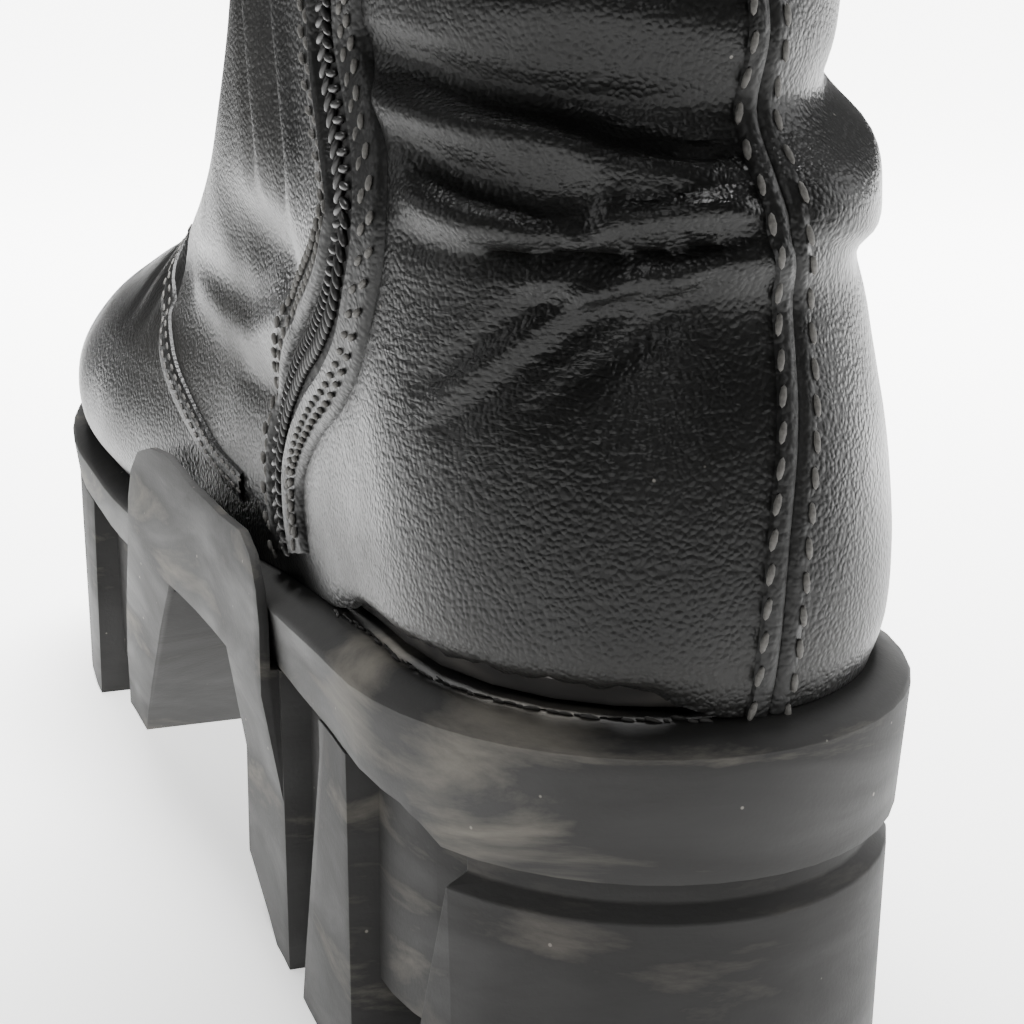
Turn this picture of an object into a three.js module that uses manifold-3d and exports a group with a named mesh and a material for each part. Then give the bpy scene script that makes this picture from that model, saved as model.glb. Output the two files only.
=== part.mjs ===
// Platform boot, right foot: a hollow leather upper on a tall moulded sole with a heel block, waist lugs and
// raised arch panels. Millimetres, +Z up, toe towards -Y, inner (medial) side towards +X. The origin is the
// middle of the heel's tread face. "t" below is the distance forward of the ankle's centre line, which stands
// TREAD_MIDDLE in front of the origin; the whole group is moved by that at the end.
import * as THREE from 'three';
import { mergeVertices } from 'three/addons/utils/BufferGeometryUtils.js';
import Module from 'manifold-3d';

const wasm = await Module();
wasm.setup();

// ---- driving sizes ------------------------------------------------------------------------------------------

const TREAD_MIDDLE = 19.5;    // from the ankle's centre line back to the middle of the heel's tread
const GAP = 0.3;              // clearance between pieces that touch
const SEAT = 1.0;             // the upper and insole sit this far above the curved platform
const LEDGE_WIDTH = 5.5;      // welt shelf outside the upper
const LEDGE_FALL = 2.2;       // how far the shelf drops to its outer edge
const BAND_TAPER = 2.0;       // the band leans in this much going down
const NECK_INSET = 4.6;       // groove between band and heel block
const NECK_HEIGHT = 3.6;
const BLOCK_INSET = 2.4;      // heel block inside the band's edge
const BLOCK_BEVEL = 2.2;
const LUG_INSET = 1.0;        // lug faces inside the outline
const WEB_INSET = 6.0;        // recessed walls between the lugs
const WEB_THICK = 6.0;
const SPINE_HALF = 14;        // half-width of the keel between left and right lugs
const PANEL_PROUD = 1.9;      // raised arch panel outside the band
const LEG_DRAFT = 8.5;        // how far the forefoot's first leg leans in between the band and the floor
const UPPER_WALL = 2.0;
const INSOLE_THICK = 3.0;
const TONGUE_THICK = 2.4;
const LACE_RADIUS = 1.9;
const EYELET_INNER = 2.1;
const EYELET_OUTER = 4.2;

// Sole outline: half-widths either side of the centre line, before the heel and toe are rounded off.
const OUTLINE = [
  { t: -41, medial: 43.0, lateral: 38.4 },
  { t: 10, medial: 42.6, lateral: 38.8 },
  { t: 35, medial: 42.2, lateral: 39.8 },
  { t: 65, medial: 41.2, lateral: 41.6 },
  { t: 100, medial: 42.0, lateral: 45.2 },
  { t: 135, medial: 45.0, lateral: 49.0 },
  { t: 165, medial: 46.6, lateral: 50.2 },
  { t: 190, medial: 45.8, lateral: 49.0 },
  { t: 215, medial: 45.4, lateral: 47.8 },
  { t: 261, medial: 45.5, lateral: 47.0 },
];
const TIPS = { heel: -41, toe: 261, toeLean: 4.0 };
const ROUND = { heelMedial: 51, heelLateral: 43, toeMedial: 64, toeLateral: 84 };   // lengths of the round ends

// Heights along the sole: the shelf, the band under it and the tread.
const SOLE_LINE = [
  { t: -41, top: 70.0, band: 21.0, tread: 0.0 },
  { t: 10, top: 69.4, band: 15.0, tread: 0.0 },
  { t: 35, top: 67.4, band: 13.6, tread: 0.0 },
  { t: 60, top: 64.6, band: 12.4, tread: 0.0 },
  { t: 95, top: 60.2, band: 11.6, tread: 0.0 },
  { t: 130, top: 57.0, band: 11.2, tread: 0.0 },
  { t: 160, top: 55.8, band: 11.0, tread: 0.0 },
  { t: 192, top: 56.2, band: 11.0, tread: 0.0 },
  { t: 216, top: 58.2, band: 11.0, tread: 3.6 },
  { t: 240, top: 61.4, band: 11.0, tread: 9.6 },
  { t: 262, top: 64.6, band: 11.0, tread: 17.0 },
];
const BAND_STEP = { t: -13, length: 4, back: 49.0 };   // the band's lower edge steps up in front of the heel

// Upper: one row for each level, from the shelf to the collar.
// back/front: where the level starts and ends along the foot, with their heights. bow: how far the level
// follows the shelf's own curve between its ends (1 all the way, 0 straight).
// rear and fore: half-widths over the heel and over the ball. roundB/roundF: lengths of the rounded ends.
// lean: the toe's shift to the medial side. pinch: the arch's hollow in the medial side.
const LEVELS = [
  { back: -35.4, backZ: 71, front: 252, frontZ: 64.2, bow: 1, rearM: 35.6, rearL: 33.8, foreM: 41.2,
    foreL: 43.6, roundB: 42, roundF: 76, lean: 3.6, pinch: 2 },
  { back: -37, backZ: 77, front: 254.6, frontZ: 70, bow: 1, rearM: 37, rearL: 35.8, foreM: 45.2,
    foreL: 46.6, roundB: 43, roundF: 78, lean: 3.6, pinch: 3.4 },
  { back: -37.4, backZ: 86, front: 252, frontZ: 79, bow: 0.95, rearM: 37.6, rearL: 36.4, foreM: 45.8,
    foreL: 46.6, roundB: 44, roundF: 80, lean: 3.5, pinch: 4 },
  { back: -36.8, backZ: 95, front: 244, frontZ: 87.4, bow: 0.85, rearM: 37.8, rearL: 36, foreM: 42.2,
    foreL: 42.8, roundB: 44, roundF: 84, lean: 3.2, pinch: 3.6 },
  { back: -35.6, backZ: 103, front: 228, frontZ: 94.6, bow: 0.65, rearM: 37.8, rearL: 35.4, foreM: 36.8,
    foreL: 37.6, roundB: 44, roundF: 86, lean: 2.6, pinch: 2.4 },
  { back: -33.8, backZ: 110.5, front: 205, frontZ: 101.6, bow: 0.45, rearM: 37.8, rearL: 34.6, foreM: 34.4,
    foreL: 34.6, roundB: 44, roundF: 84, lean: 1.8, pinch: 1.2 },
  { back: -31.8, backZ: 117.5, front: 177, frontZ: 111, bow: 0.25, rearM: 38, rearL: 34, foreM: 36.4,
    foreL: 34.2, roundB: 44, roundF: 74, lean: 0.9, pinch: 0.4 },
  { back: -30.8, backZ: 124, front: 150, frontZ: 124, bow: 0.1, rearM: 38.2, rearL: 33.4, foreM: 37.8,
    foreL: 34, roundB: 44, roundF: 60, lean: 0.4, pinch: 0 },
  { back: -33, backZ: 130.5, front: 131, frontZ: 138, bow: 0, rearM: 37.8, rearL: 34.8, foreM: 38.4,
    foreL: 34, roundB: 44, roundF: 48, lean: 0.2, pinch: 0 },
  { back: -29.4, backZ: 138, front: 119, frontZ: 152.4, bow: 0, rearM: 36.4, rearL: 33, foreM: 38.4,
    foreL: 33.6, roundB: 42, roundF: 42, lean: 0, pinch: 0 },
  { back: -25, backZ: 145.6, front: 113, frontZ: 166, bow: 0, rearM: 36, rearL: 30.4, foreM: 38.2,
    foreL: 33.4, roundB: 42, roundF: 40, lean: 0, pinch: 0 },
  { back: -24.4, backZ: 160, front: 109, frontZ: 182, bow: 0, rearM: 37, rearL: 31, foreM: 37.8,
    foreL: 33.6, roundB: 42, roundF: 40, lean: 0, pinch: 0 },
  { back: -26, backZ: 190, front: 106, frontZ: 205, bow: 0, rearM: 39, rearL: 34.6, foreM: 38.4,
    foreL: 35.6, roundB: 44, roundF: 42, lean: 0, pinch: 0 },
  { back: -29, backZ: 236, front: 106, frontZ: 240, bow: 0, rearM: 42, rearL: 38.6, foreM: 40.6,
    foreL: 38.4, roundB: 48, roundF: 46, lean: 0, pinch: 0 },
];

// Side zip's centre line, from its foot by the shelf up to the collar.
const ZIP_LINE = [
  { t: 56.0, z: 70.5 }, { t: 57.5, z: 80.0 }, { t: 53.0, z: 91.0 }, { t: 41.0, z: 102.0 },
  { t: 26.0, z: 111.0 }, { t: 14.0, z: 121.0 }, { t: 10.5, z: 131.0 }, { t: 15.0, z: 144.0 },
  { t: 22.0, z: 160.0 }, { t: 26.0, z: 190.0 }, { t: 26.0, z: 232.0 },
];
const ZIP = { halfWidth: 7.5, proud: 1.3 };

// Throat: cut half-widths at its foot and at the collar, and the lace rows up it.
const THROAT = {
  footZ: 128.0, footHalf: 11.0, topZ: 246.0, topHalf: 17.0, rows: 7, firstZ: 137.0, lastZ: 231.0,
};

// ---- small helpers ------------------------------------------------------------------------------------------

const smooth = (from, to, x) => THREE.MathUtils.smoothstep(x, from, to);
const mix = (a, b, f) => a + (b - a) * f;

// Smooth curve through one column of a table that is sorted by its key.
function along(rows, key, column, x) {
  const last = rows.length - 1;
  if (x <= rows[0][key]) return rows[0][column];
  if (x >= rows[last][key]) return rows[last][column];
  let i = 0;
  while (x > rows[i + 1][key]) i += 1;
  const slope = (a, b) => (rows[b][column] - rows[a][column]) / (rows[b][key] - rows[a][key]);
  const span = rows[i + 1][key] - rows[i][key];
  const f = (x - rows[i][key]) / span;
  const before = slope(Math.max(i - 1, 0), i + 1) * span;
  const after = slope(i, Math.min(i + 2, last)) * span;
  const square = f * f;
  const cube = square * f;
  return (2 * cube - 3 * square + 1) * rows[i][column] + (cube - 2 * square + f) * before
    + (3 * square - 2 * cube) * rows[i + 1][column] + (cube - square) * after;
}

const topAt = (t) => along(SOLE_LINE, 't', 'top', t);
const treadAt = (t) => Math.max(0, along(SOLE_LINE, 't', 'tread', t));

function bandAt(t) {
  const front = topAt(t) - along(SOLE_LINE, 't', 'band', t);
  return mix(BAND_STEP.back, front, smooth(BAND_STEP.t - BAND_STEP.length, BAND_STEP.t + BAND_STEP.length, t));
}

function toSolid(geometry) {
  geometry.deleteAttribute('normal');
  geometry.deleteAttribute('uv');
  const merged = mergeVertices(geometry, 1e-4);
  return new wasm.Manifold(new wasm.Mesh({
    numProp: 3,
    vertProperties: Float32Array.from(merged.attributes.position.array),
    triVerts: Uint32Array.from(merged.index.array),
  }));
}

const group = new THREE.Group();

function addMesh(name, geometry, material) {
  geometry.computeVertexNormals();
  const mesh = new THREE.Mesh(geometry, material);
  mesh.name = name;
  group.add(mesh);
  return mesh;
}

function addSolid(name, solid, material) {
  const result = solid.getMesh();
  const geometry = new THREE.BufferGeometry();
  geometry.setAttribute('position', new THREE.BufferAttribute(Float32Array.from(result.vertProperties), 3));
  geometry.setIndex(Array.from(result.triVerts));
  return addMesh(name, geometry, material);
}

// Closed body through stacked rings of [x, y, z] points, lowest first. Each ring starts at the heel's tip, runs
// down the lateral side to the toe's tip and comes back, so its ends close with level rungs from side to side.
function loft(rings) {
  const count = rings[0].length;
  const index = [];
  for (let r = 0; r + 1 < rings.length; r += 1) {
    for (let j = 0; j < count; j += 1) {
      const k = (j + 1) % count;
      const [a, b, c, d] = [r * count + j, r * count + k, (r + 1) * count + k, (r + 1) * count + j];
      index.push(a, b, c, a, c, d);
    }
  }
  const rungs = (first, up) => {
    for (let i = 0; i < count / 2; i += 1) {
      const [a, b, c, d] = [i, i + 1, count - i - 1, (count - i) % count].map((v) => v + first);
      if (i > 0) index.push(...(up ? [a, c, d] : [a, d, c]));
      if (i + 1 < count / 2) index.push(...(up ? [a, b, c] : [a, c, b]));
    }
  };
  rungs(0, false);
  rungs((rings.length - 1) * count, true);
  const geometry = new THREE.BufferGeometry();
  geometry.setAttribute('position', new THREE.Float32BufferAttribute(rings.flat(2), 3));
  geometry.setIndex(index);
  return geometry;
}

// ---- sole outline -------------------------------------------------------------------------------------------

const OUTLINE_STEPS = 44;     // steps along each side

const roundOff = (distance, length) => Math.sqrt(1 - Math.pow(1 - Math.min(distance / length, 1), 2));

// Plan point [x, y] of the outline at t, on the medial (+1) or lateral (-1) side.
function outlinePoint(t, side) {
  const width = along(OUTLINE, 't', side > 0 ? 'medial' : 'lateral', t);
  const heel = roundOff(t - TIPS.heel, side > 0 ? ROUND.heelMedial : ROUND.heelLateral);
  const toe = roundOff(TIPS.toe - t, side > 0 ? ROUND.toeMedial : ROUND.toeLateral);
  return new THREE.Vector2(side * width * heel * toe + TIPS.toeLean * smooth(150, TIPS.toe, t), -t);
}

function outlineStation(i) {
  const f = (1 - Math.cos((Math.PI * i) / OUTLINE_STEPS)) / 2;
  return mix(TIPS.heel, TIPS.toe, f);
}

const outlinePoints = [
  ...Array.from({ length: OUTLINE_STEPS }, (_, i) => outlinePoint(outlineStation(i), -1)),
  ...Array.from({ length: OUTLINE_STEPS }, (_, i) => outlinePoint(outlineStation(OUTLINE_STEPS - i), 1)),
];

// The outline moved inwards by inset, at a height that may follow the sole.
function outlineRing(inset, height) {
  const count = outlinePoints.length;
  return outlinePoints.map((point, i) => {
    const next = outlinePoints[(i + 1) % count];
    const tangent = next.clone().sub(outlinePoints[(i + count - 1) % count]).normalize();
    const x = point.x - tangent.y * inset;
    const y = point.y + tangent.x * inset;
    return [x, y, typeof height === 'function' ? height(-y) : height];
  });
}

function prism(inset, low, high, lowInset = inset) {
  return toSolid(loft([outlineRing(lowInset, low), outlineRing(inset, high)]));
}

// Side profile, a list of [t, z], cut across the sole from x = from to x = to.
function across(profile, from, to) {
  const shape = new THREE.Shape(profile.map(([t, z]) => new THREE.Vector2(t, z)));
  const geometry = new THREE.ExtrudeGeometry(shape, { depth: to - from, bevelEnabled: false, steps: 1 });
  const axes = new THREE.Matrix4().makeBasis(
    new THREE.Vector3(0, -1, 0), new THREE.Vector3(0, 0, 1), new THREE.Vector3(-1, 0, 0));
  geometry.applyMatrix4(axes.setPosition(to, 0, 0));
  return toSolid(geometry);
}

const FAR = 80;
const SOLE_REACH = { back: -44, front: 270 };         // past both tips of the sole
const acrossAll = (profile) => across(profile, -FAR, FAR);

const rubber = new THREE.MeshStandardMaterial({ color: 0x3c3c3a, roughness: 0.72, metalness: 0 });
const leather = new THREE.MeshStandardMaterial({ color: 0x151515, roughness: 0.42, metalness: 0 });
const lining = new THREE.MeshStandardMaterial({ color: 0x2a2826, roughness: 0.9, metalness: 0 });
const textile = new THREE.MeshStandardMaterial({ color: 0x101010, roughness: 0.85, metalness: 0 });
const metal = new THREE.MeshStandardMaterial({ color: 0x2b2b2b, roughness: 0.35, metalness: 0.9 });

// ---- platform: ledge and band -------------------------------------------------------------------------------

// Points [t, z] of a line along the sole, and the band's lower edge moved down by drop.
function sampledLine(from, to, step, height) {
  const points = [];
  for (let t = from; t < to; t += step) points.push([t, height(t)]);
  points.push([to, height(to)]);
  return points;
}
const bandEdge = (drop) => sampledLine(SOLE_REACH.back, SOLE_REACH.front, 4, (t) => bandAt(t) - drop);

const platformBlank = toSolid(loft([
  outlineRing(BAND_TAPER, (t) => bandAt(t) - 6),
  outlineRing(0, (t) => topAt(t) - LEDGE_FALL - 0.8),
  outlineRing(0.5, (t) => topAt(t) - LEDGE_FALL),
  outlineRing(LEDGE_WIDTH - 0.6, topAt),
]));
const underBand = acrossAll([[SOLE_REACH.front, 30], ...bandEdge(0).reverse(), [SOLE_REACH.back, 30]]);
addSolid('platform', platformBlank.subtract(underBand), rubber);

// ---- heel block ---------------------------------------------------------------------------------------------

const BLOCK_TOP = BAND_STEP.back - GAP;
const HEEL_FRONT = { top: -16, foot: -4 };           // the block's front face slopes forward going down
const heelSide = acrossAll([
  [-FAR, 0], [HEEL_FRONT.foot, 0], [HEEL_FRONT.top, BLOCK_TOP - NECK_HEIGHT],
  [HEEL_FRONT.top, BLOCK_TOP], [-FAR, BLOCK_TOP],
]);
const heelBody = toSolid(loft([
  outlineRing(BLOCK_INSET + 1.2, 0),
  outlineRing(BLOCK_INSET, BLOCK_TOP - NECK_HEIGHT - BLOCK_BEVEL),
  outlineRing(BLOCK_INSET + BLOCK_BEVEL, BLOCK_TOP - NECK_HEIGHT),
]));
const heelNeck = prism(NECK_INSET, BLOCK_TOP - NECK_HEIGHT - 1, BLOCK_TOP);
addSolid('heel_block', heelBody.add(heelNeck).intersect(heelSide), rubber);

// ---- outsole: keel, webs, lugs and arch panels --------------------------------------------------------------

// Lugs along each side as side profiles: rear and front edge at the tread and at the band.
const LUGS = [
  { rearFoot: 10.0, frontFoot: 42.0, rearTop: 9.0, frontTop: 24.0, chamfer: 0 },
  { rearFoot: 52.0, frontFoot: 60.0, rearTop: 51.0, frontTop: 78.0, chamfer: 20 },
  { rearFoot: 196.0, frontFoot: 212.0, rearTop: 192.0, frontTop: 210.0, chamfer: 0 },
  { rearFoot: 218.0, frontFoot: 232.0, rearTop: 216.0, frontTop: 231.0, chamfer: 0 },
  { rearFoot: 238.0, frontFoot: 266.0, rearTop: 237.0, frontTop: 266.0, chamfer: 0 },
];
const CHAMFER_HEIGHT = 10;
const LUG_TOP = 64;
const PANEL_ROOM = 90;        // above the highest arch panel
const WEB_FOOT = 18;
const WAIST = { front: 116, rear: 78, top: 48.5 };   // ceiling of the window between waist lug and forefoot
const LEG = { rearFoot: 172, frontFoot: 190, frontTop: 144 };   // the forefoot's first leg leans forward

const lugProfile = (lug) => [
  [lug.rearFoot, -1],
  [lug.frontFoot, -1],
  ...(lug.chamfer ? [[lug.frontFoot + lug.chamfer, CHAMFER_HEIGHT]] : []),
  [lug.frontTop, WAIST.top],
  [lug.frontTop, LUG_TOP],
  [lug.rearTop, LUG_TOP],
  [lug.rearTop, WAIST.top],
];

// Everything below the band.
const ceiling = acrossAll([[SOLE_REACH.back, -5], [SOLE_REACH.front, -5], ...bandEdge(GAP).reverse()]);
const ground = acrossAll([
  [275, -9], ...sampledLine(192, 275, 6, treadAt).reverse(), [-60, 0], [-60, -9],
]);

const inside = prism(LUG_INSET, -2, LUG_TOP, LUG_INSET + 0.6);
let lugs = acrossAll(lugProfile(LUGS[0]));
LUGS.slice(1).forEach((lug) => {
  lugs = lugs.add(acrossAll(lugProfile(lug)));
});
const channel = across([[-60, -5], [300, -5], [300, 8], [186, 8], [150, 22], [-60, 22]], -8, 8);
const sideLugs = lugs.intersect(inside).subtract(channel);

// Recessed walls behind the lugs, from the heel to the waist lug, and the forefoot's inner body.
const webWalls = prism(WEB_INSET, WEB_FOOT, LUG_TOP).subtract(prism(WEB_INSET + WEB_THICK, 0, LUG_TOP - 10))
  .intersect(acrossAll([[-17, 0], [60, 0], [60, LUG_TOP], [-17, LUG_TOP]]));
const BLOCK_CLEAR = GAP * 1.2;
const frontOfHeel = acrossAll([
  [HEEL_FRONT.foot + BLOCK_CLEAR, -2], [HEEL_FRONT.foot + BLOCK_CLEAR, 0],
  [HEEL_FRONT.top + BLOCK_CLEAR, BLOCK_TOP - NECK_HEIGHT],
  [HEEL_FRONT.top + BLOCK_CLEAR, PANEL_ROOM], [SOLE_REACH.front, PANEL_ROOM], [SOLE_REACH.front, -2],
]);
const keel = across([[-16, 24], [150, 24], [150, LUG_TOP], [-16, LUG_TOP]], -SPINE_HALF, SPINE_HALF);
const forefoot = prism(WEB_INSET - 1, 6, LUG_TOP, WEB_INSET + 1)
  .intersect(acrossAll([[166, 6], [275, 6], [275, LUG_TOP],
    [WAIST.front + 2, LUG_TOP], [WAIST.front + 2, WAIST.top]]));
const forefootFloor = forefoot.subtract(acrossAll([
  [276, -5], ...sampledLine(110, 276, 8, (t) => treadAt(t) + 9).reverse(), [110, -5],
]));

// Raised arch panel: stands outside the band, rises over the shelf at the waist and runs down into the waist
// lug behind the window and the forefoot's first leg in front of it, both leaning in towards the floor.
const PANEL_TOP = [
  [52, 60], [54, 65.5], [59, 70], [66, 72], [80, 71], [100, 71], [116, 73], [126, 72], [134, 69.5],
  [139, 65], [142, 59],
];
const panelProfile = [
  ...PANEL_TOP, [LEG.frontTop, WAIST.top], [LEG.frontFoot, -1], [LEG.rearFoot, -1],
  [WAIST.front, WAIST.top], [WAIST.rear, WAIST.top], [LUGS[1].frontFoot + LUGS[1].chamfer, CHAMFER_HEIGHT],
  [LUGS[1].frontFoot, -1], [LUGS[1].rearFoot, -1],
];
const PANEL_ROOT = 22;        // how far the leg reaches in under the band
const panelOutside = toSolid(loft([
  outlineRing(LEG_DRAFT - PANEL_PROUD, -1),
  outlineRing(-PANEL_PROUD, WAIST.top),
  outlineRing(-PANEL_PROUD, 64),
  outlineRing(0.4 - PANEL_PROUD, 84),
]));
const panelBlank = panelOutside.intersect(acrossAll(panelProfile));
const panelSkin = panelBlank.subtract(prism(-GAP, -2, PANEL_ROOM));
const panelRoot = panelBlank.subtract(prism(LEG_DRAFT + PANEL_ROOT, -2, PANEL_ROOM)).intersect(ceiling);

const outsole = sideLugs.add(webWalls).add(keel).add(forefootFloor).intersect(ceiling)
  .add(panelRoot).add(panelSkin).intersect(frontOfHeel).subtract(ground);
addSolid('outsole', outsole, rubber);

// ---- upper --------------------------------------------------------------------------------------------------

const HALF_STEPS = 24;        // steps along each side of a level
const LEVEL_STEPS = 24;       // levels from shelf to collar

// Half-width along a level: f runs from its back (0) to its front (1).
function halfWidth(level, f, rear, fore) {
  const length = level.front - level.back;
  const fromBack = f * length;
  const fromFront = (1 - f) * length;
  const width = mix(rear, fore, smooth(0.2, 0.72, f));
  const nearBack = 1 - Math.min(fromBack / level.roundB, 1);
  const nearFront = 1 - Math.min(fromFront / level.roundF, 1);
  return width * Math.sqrt(1 - nearBack * nearBack) * Math.pow(1 - Math.pow(nearFront, 2.2), 1 / 2.2);
}

function levelAt(v) {
  const place = v * (LEVELS.length - 1);
  const rows = LEVELS.map((row, i) => ({ ...row, i }));
  const level = {};
  Object.keys(LEVELS[0]).forEach((column) => {
    level[column] = along(rows, 'i', column, place);
  });
  return level;
}

// Point of the outer skin: v from shelf (0) to collar (1), f from heel to front, side +1 medial or -1 lateral.
function skinPoint(v, f, side) {
  const level = levelAt(v);
  const t = mix(level.back, level.front, f);
  const [rear, fore] = side > 0 ? [level.rearM, level.foreM] : [level.rearL, level.foreL];
  const width = halfWidth(level, f, rear, fore);
  const arch = side > 0 ? level.pinch * smooth(0.22, 0.42, f) * (1 - smooth(0.5, 0.7, f)) : 0;
  const x = side * width - arch + level.lean * smooth(0.55, 1, f);
  const shelfBow = topAt(t) - mix(topAt(level.back), topAt(level.front), f);
  return new THREE.Vector3(x, -t, mix(level.backZ, level.frontZ, f) + level.bow * shelfBow);
}

const fraction = (i) => (1 - Math.cos((Math.PI * i) / HALF_STEPS)) / 2;

function skinRing(v) {
  const ring = [];
  for (let i = 0; i < HALF_STEPS; i += 1) ring.push(skinPoint(v, fraction(i), -1));
  for (let i = HALF_STEPS; i > 0; i -= 1) ring.push(skinPoint(v, fraction(i), 1));
  return ring;
}

const skin = Array.from({ length: LEVEL_STEPS + 1 }, (_, r) => skinRing(r / LEVEL_STEPS));

// The skin moved along its own normals; the first and last levels stay level so that the edges are flat.
function offsetSkin(distance) {
  const count = skin[0].length;
  return skin.map((ring, r) => ring.map((point, j) => {
    const sideways = ring[(j + 1) % count].clone().sub(ring[(j + count - 1) % count]);
    const up = skin[Math.min(r + 1, LEVEL_STEPS)][j].clone().sub(skin[Math.max(r - 1, 0)][j]);
    const normal = sideways.cross(up).normalize();
    if (r === 0 || r === LEVEL_STEPS) normal.setZ(0).normalize();
    return point.clone().addScaledVector(normal, distance).toArray();
  }));
}

// Hollow body between two offsets of the skin, open above and below.
function shell(outer, inner) {
  const outside = offsetSkin(outer);
  const within = offsetSkin(inner);
  const rings = [...outside, ...within.reverse()];
  const count = outside[0].length;
  const index = [];
  rings.forEach((_, r) => {
    const next = (r + 1) % rings.length;
    for (let j = 0; j < count; j += 1) {
      const k = (j + 1) % count;
      const [a, b, c, d] = [r * count + j, r * count + k, next * count + k, next * count + j];
      index.push(a, b, c, a, c, d);
    }
  });
  const geometry = new THREE.BufferGeometry();
  geometry.setAttribute('position', new THREE.Float32BufferAttribute(rings.flat(2), 3));
  geometry.setIndex(index);
  return toSolid(geometry);
}

// Shape cut along Y, from t = from to t = to, through a front-view outline of [x, z] points.
function alongFoot(outline, from, to) {
  const shape = new THREE.Shape(outline.map(([x, z]) => new THREE.Vector2(x, z)));
  const geometry = new THREE.ExtrudeGeometry(shape, { depth: to - from, bevelEnabled: false, steps: 1 });
  const axes = new THREE.Matrix4().makeBasis(
    new THREE.Vector3(1, 0, 0), new THREE.Vector3(0, 0, 1), new THREE.Vector3(0, -1, 0));
  geometry.applyMatrix4(axes.setPosition(0, -from, 0));
  return toSolid(geometry);
}

const THROAT_MIDDLE = 2;      // the throat's centre line lies a little to the medial side
function throatOutline(extra, foot) {
  const points = [];
  for (let a = 0; a <= 6; a += 1) {
    const angle = Math.PI * (1 + a / 6);
    const half = THROAT.footHalf + extra;
    points.push([THROAT_MIDDLE + half * Math.cos(angle), foot + half * Math.sin(angle)]);
  }
  points.push([THROAT_MIDDLE + THROAT.topHalf + extra, THROAT.topZ + 6]);
  points.push([THROAT_MIDDLE - THROAT.topHalf - extra, THROAT.topZ + 6]);
  return points;
}
const throatCut = alongFoot(throatOutline(0, THROAT.footZ + THROAT.footHalf), 62, 170);
addSolid('upper', shell(0, -UPPER_WALL).subtract(throatCut), leather);

// Tongue: a strip just inside the upper, behind the throat.
const tongueBand = shell(-UPPER_WALL - GAP - 0.1, -UPPER_WALL - GAP - 0.1 - TONGUE_THICK);
addSolid('tongue', tongueBand.intersect(alongFoot(throatOutline(11, THROAT.footZ + 4), 62, 170)), leather);

// Insole: inside the upper's foot, resting just above the platform.
const insoleRing = (raise) => {
  const ring = offsetSkin(-UPPER_WALL - 0.6)[0];
  return ring.map(([x, y]) => [x, y, topAt(-y) + raise]);
};
addSolid('insole', toSolid(loft([insoleRing(SEAT), insoleRing(SEAT + INSOLE_THICK)])), lining);

// ---- side zip -----------------------------------------------------------------------------------------------

const zipPoints = ZIP_LINE.map((p) => new THREE.Vector3(p.t, p.z, 0));
const zipCurve = new THREE.CatmullRomCurve3(zipPoints, false, 'centripetal');

// Ribbon along the zip line as a side outline, halfWidth either side.
function ribbon(half, steps) {
  const left = [];
  const right = [];
  for (let i = 0; i <= steps; i += 1) {
    const point = zipCurve.getPointAt(i / steps);
    const tangent = zipCurve.getTangentAt(i / steps);
    left.push([point.x - tangent.y * half, point.y + tangent.x * half]);
    right.push([point.x + tangent.y * half, point.y - tangent.x * half]);
  }
  return [...left, ...right.reverse()];
}
const medialRibbon = across(ribbon(ZIP.halfWidth, 26), 12, FAR);
addSolid('zip_tape', shell(GAP + ZIP.proud, GAP).intersect(medialRibbon), textile);

// ---- laces and eyelets --------------------------------------------------------------------------------------

// Place on the outer skin over the throat: x across, z up, moved out along the skin's normal by lift.
function frontPoint(x, z, lift) {
  const side = x > 0 ? 1 : -1;
  const acrossLevel = (v) => {
    let low = 0.6;
    let high = 1;
    for (let i = 0; i < 24; i += 1) {
      const middle = (low + high) / 2;
      if (side * skinPoint(v, middle, side).x > Math.abs(x)) low = middle;
      else high = middle;
    }
    return low;
  };
  let below = 0.3;
  let above = 1;
  for (let i = 0; i < 24; i += 1) {
    const middle = (below + above) / 2;
    if (skinPoint(middle, acrossLevel(middle), side).z < z) below = middle;
    else above = middle;
  }
  const f = acrossLevel(below);
  const point = skinPoint(below, f, side);
  const sideways = skinPoint(below, f - 0.01, side).sub(point);
  const up = skinPoint(below + 0.01, f, side).sub(point);
  const normal = sideways.cross(up).normalize().multiplyScalar(side);
  return { point: point.addScaledVector(normal, lift), normal };
}

const EYELET_HEIGHT = 0.9;
const EYELET_FROM_EDGE = 7.0;
const LACE_SIDES = 6;
const LACE_LIFT = GAP + EYELET_HEIGHT + GAP + LACE_RADIUS + 0.7;

const rowHeight = (row) => mix(THROAT.firstZ, THROAT.lastZ, row / (THROAT.rows - 1));
const throatHalfAt = (z) => mix(THROAT.footHalf, THROAT.topHalf, smooth(THROAT.footZ, THROAT.topZ, z));
const eyeletX = (row, side) => THROAT_MIDDLE + side * (throatHalfAt(rowHeight(row)) + EYELET_FROM_EDGE);

function tube(points, radius, steps) {
  const section = new THREE.Shape(Array.from({ length: LACE_SIDES }, (_, i) => {
    const angle = (Math.PI * 2 * i) / LACE_SIDES;
    return new THREE.Vector2(radius * Math.cos(angle), radius * Math.sin(angle));
  }));
  const extrudePath = new THREE.CatmullRomCurve3(points, false, 'centripetal');
  return toSolid(new THREE.ExtrudeGeometry(section, { steps, bevelEnabled: false, extrudePath }));
}

// Lace run over the throat from one eyelet to another, bowed with the skin.
function laceRun(fromRow, fromSide, toRow, toSide) {
  const start = { x: eyeletX(fromRow, fromSide), z: rowHeight(fromRow) };
  const end = { x: eyeletX(toRow, toSide), z: rowHeight(toRow) };
  const points = [0, 0.125, 0.25, 0.375, 0.5, 0.625, 0.75, 0.875, 1].map((f) => (
    frontPoint(mix(start.x, end.x, f), mix(start.z, end.z, f), LACE_LIFT).point));
  return tube(points, LACE_RADIUS, 8);
}

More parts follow.
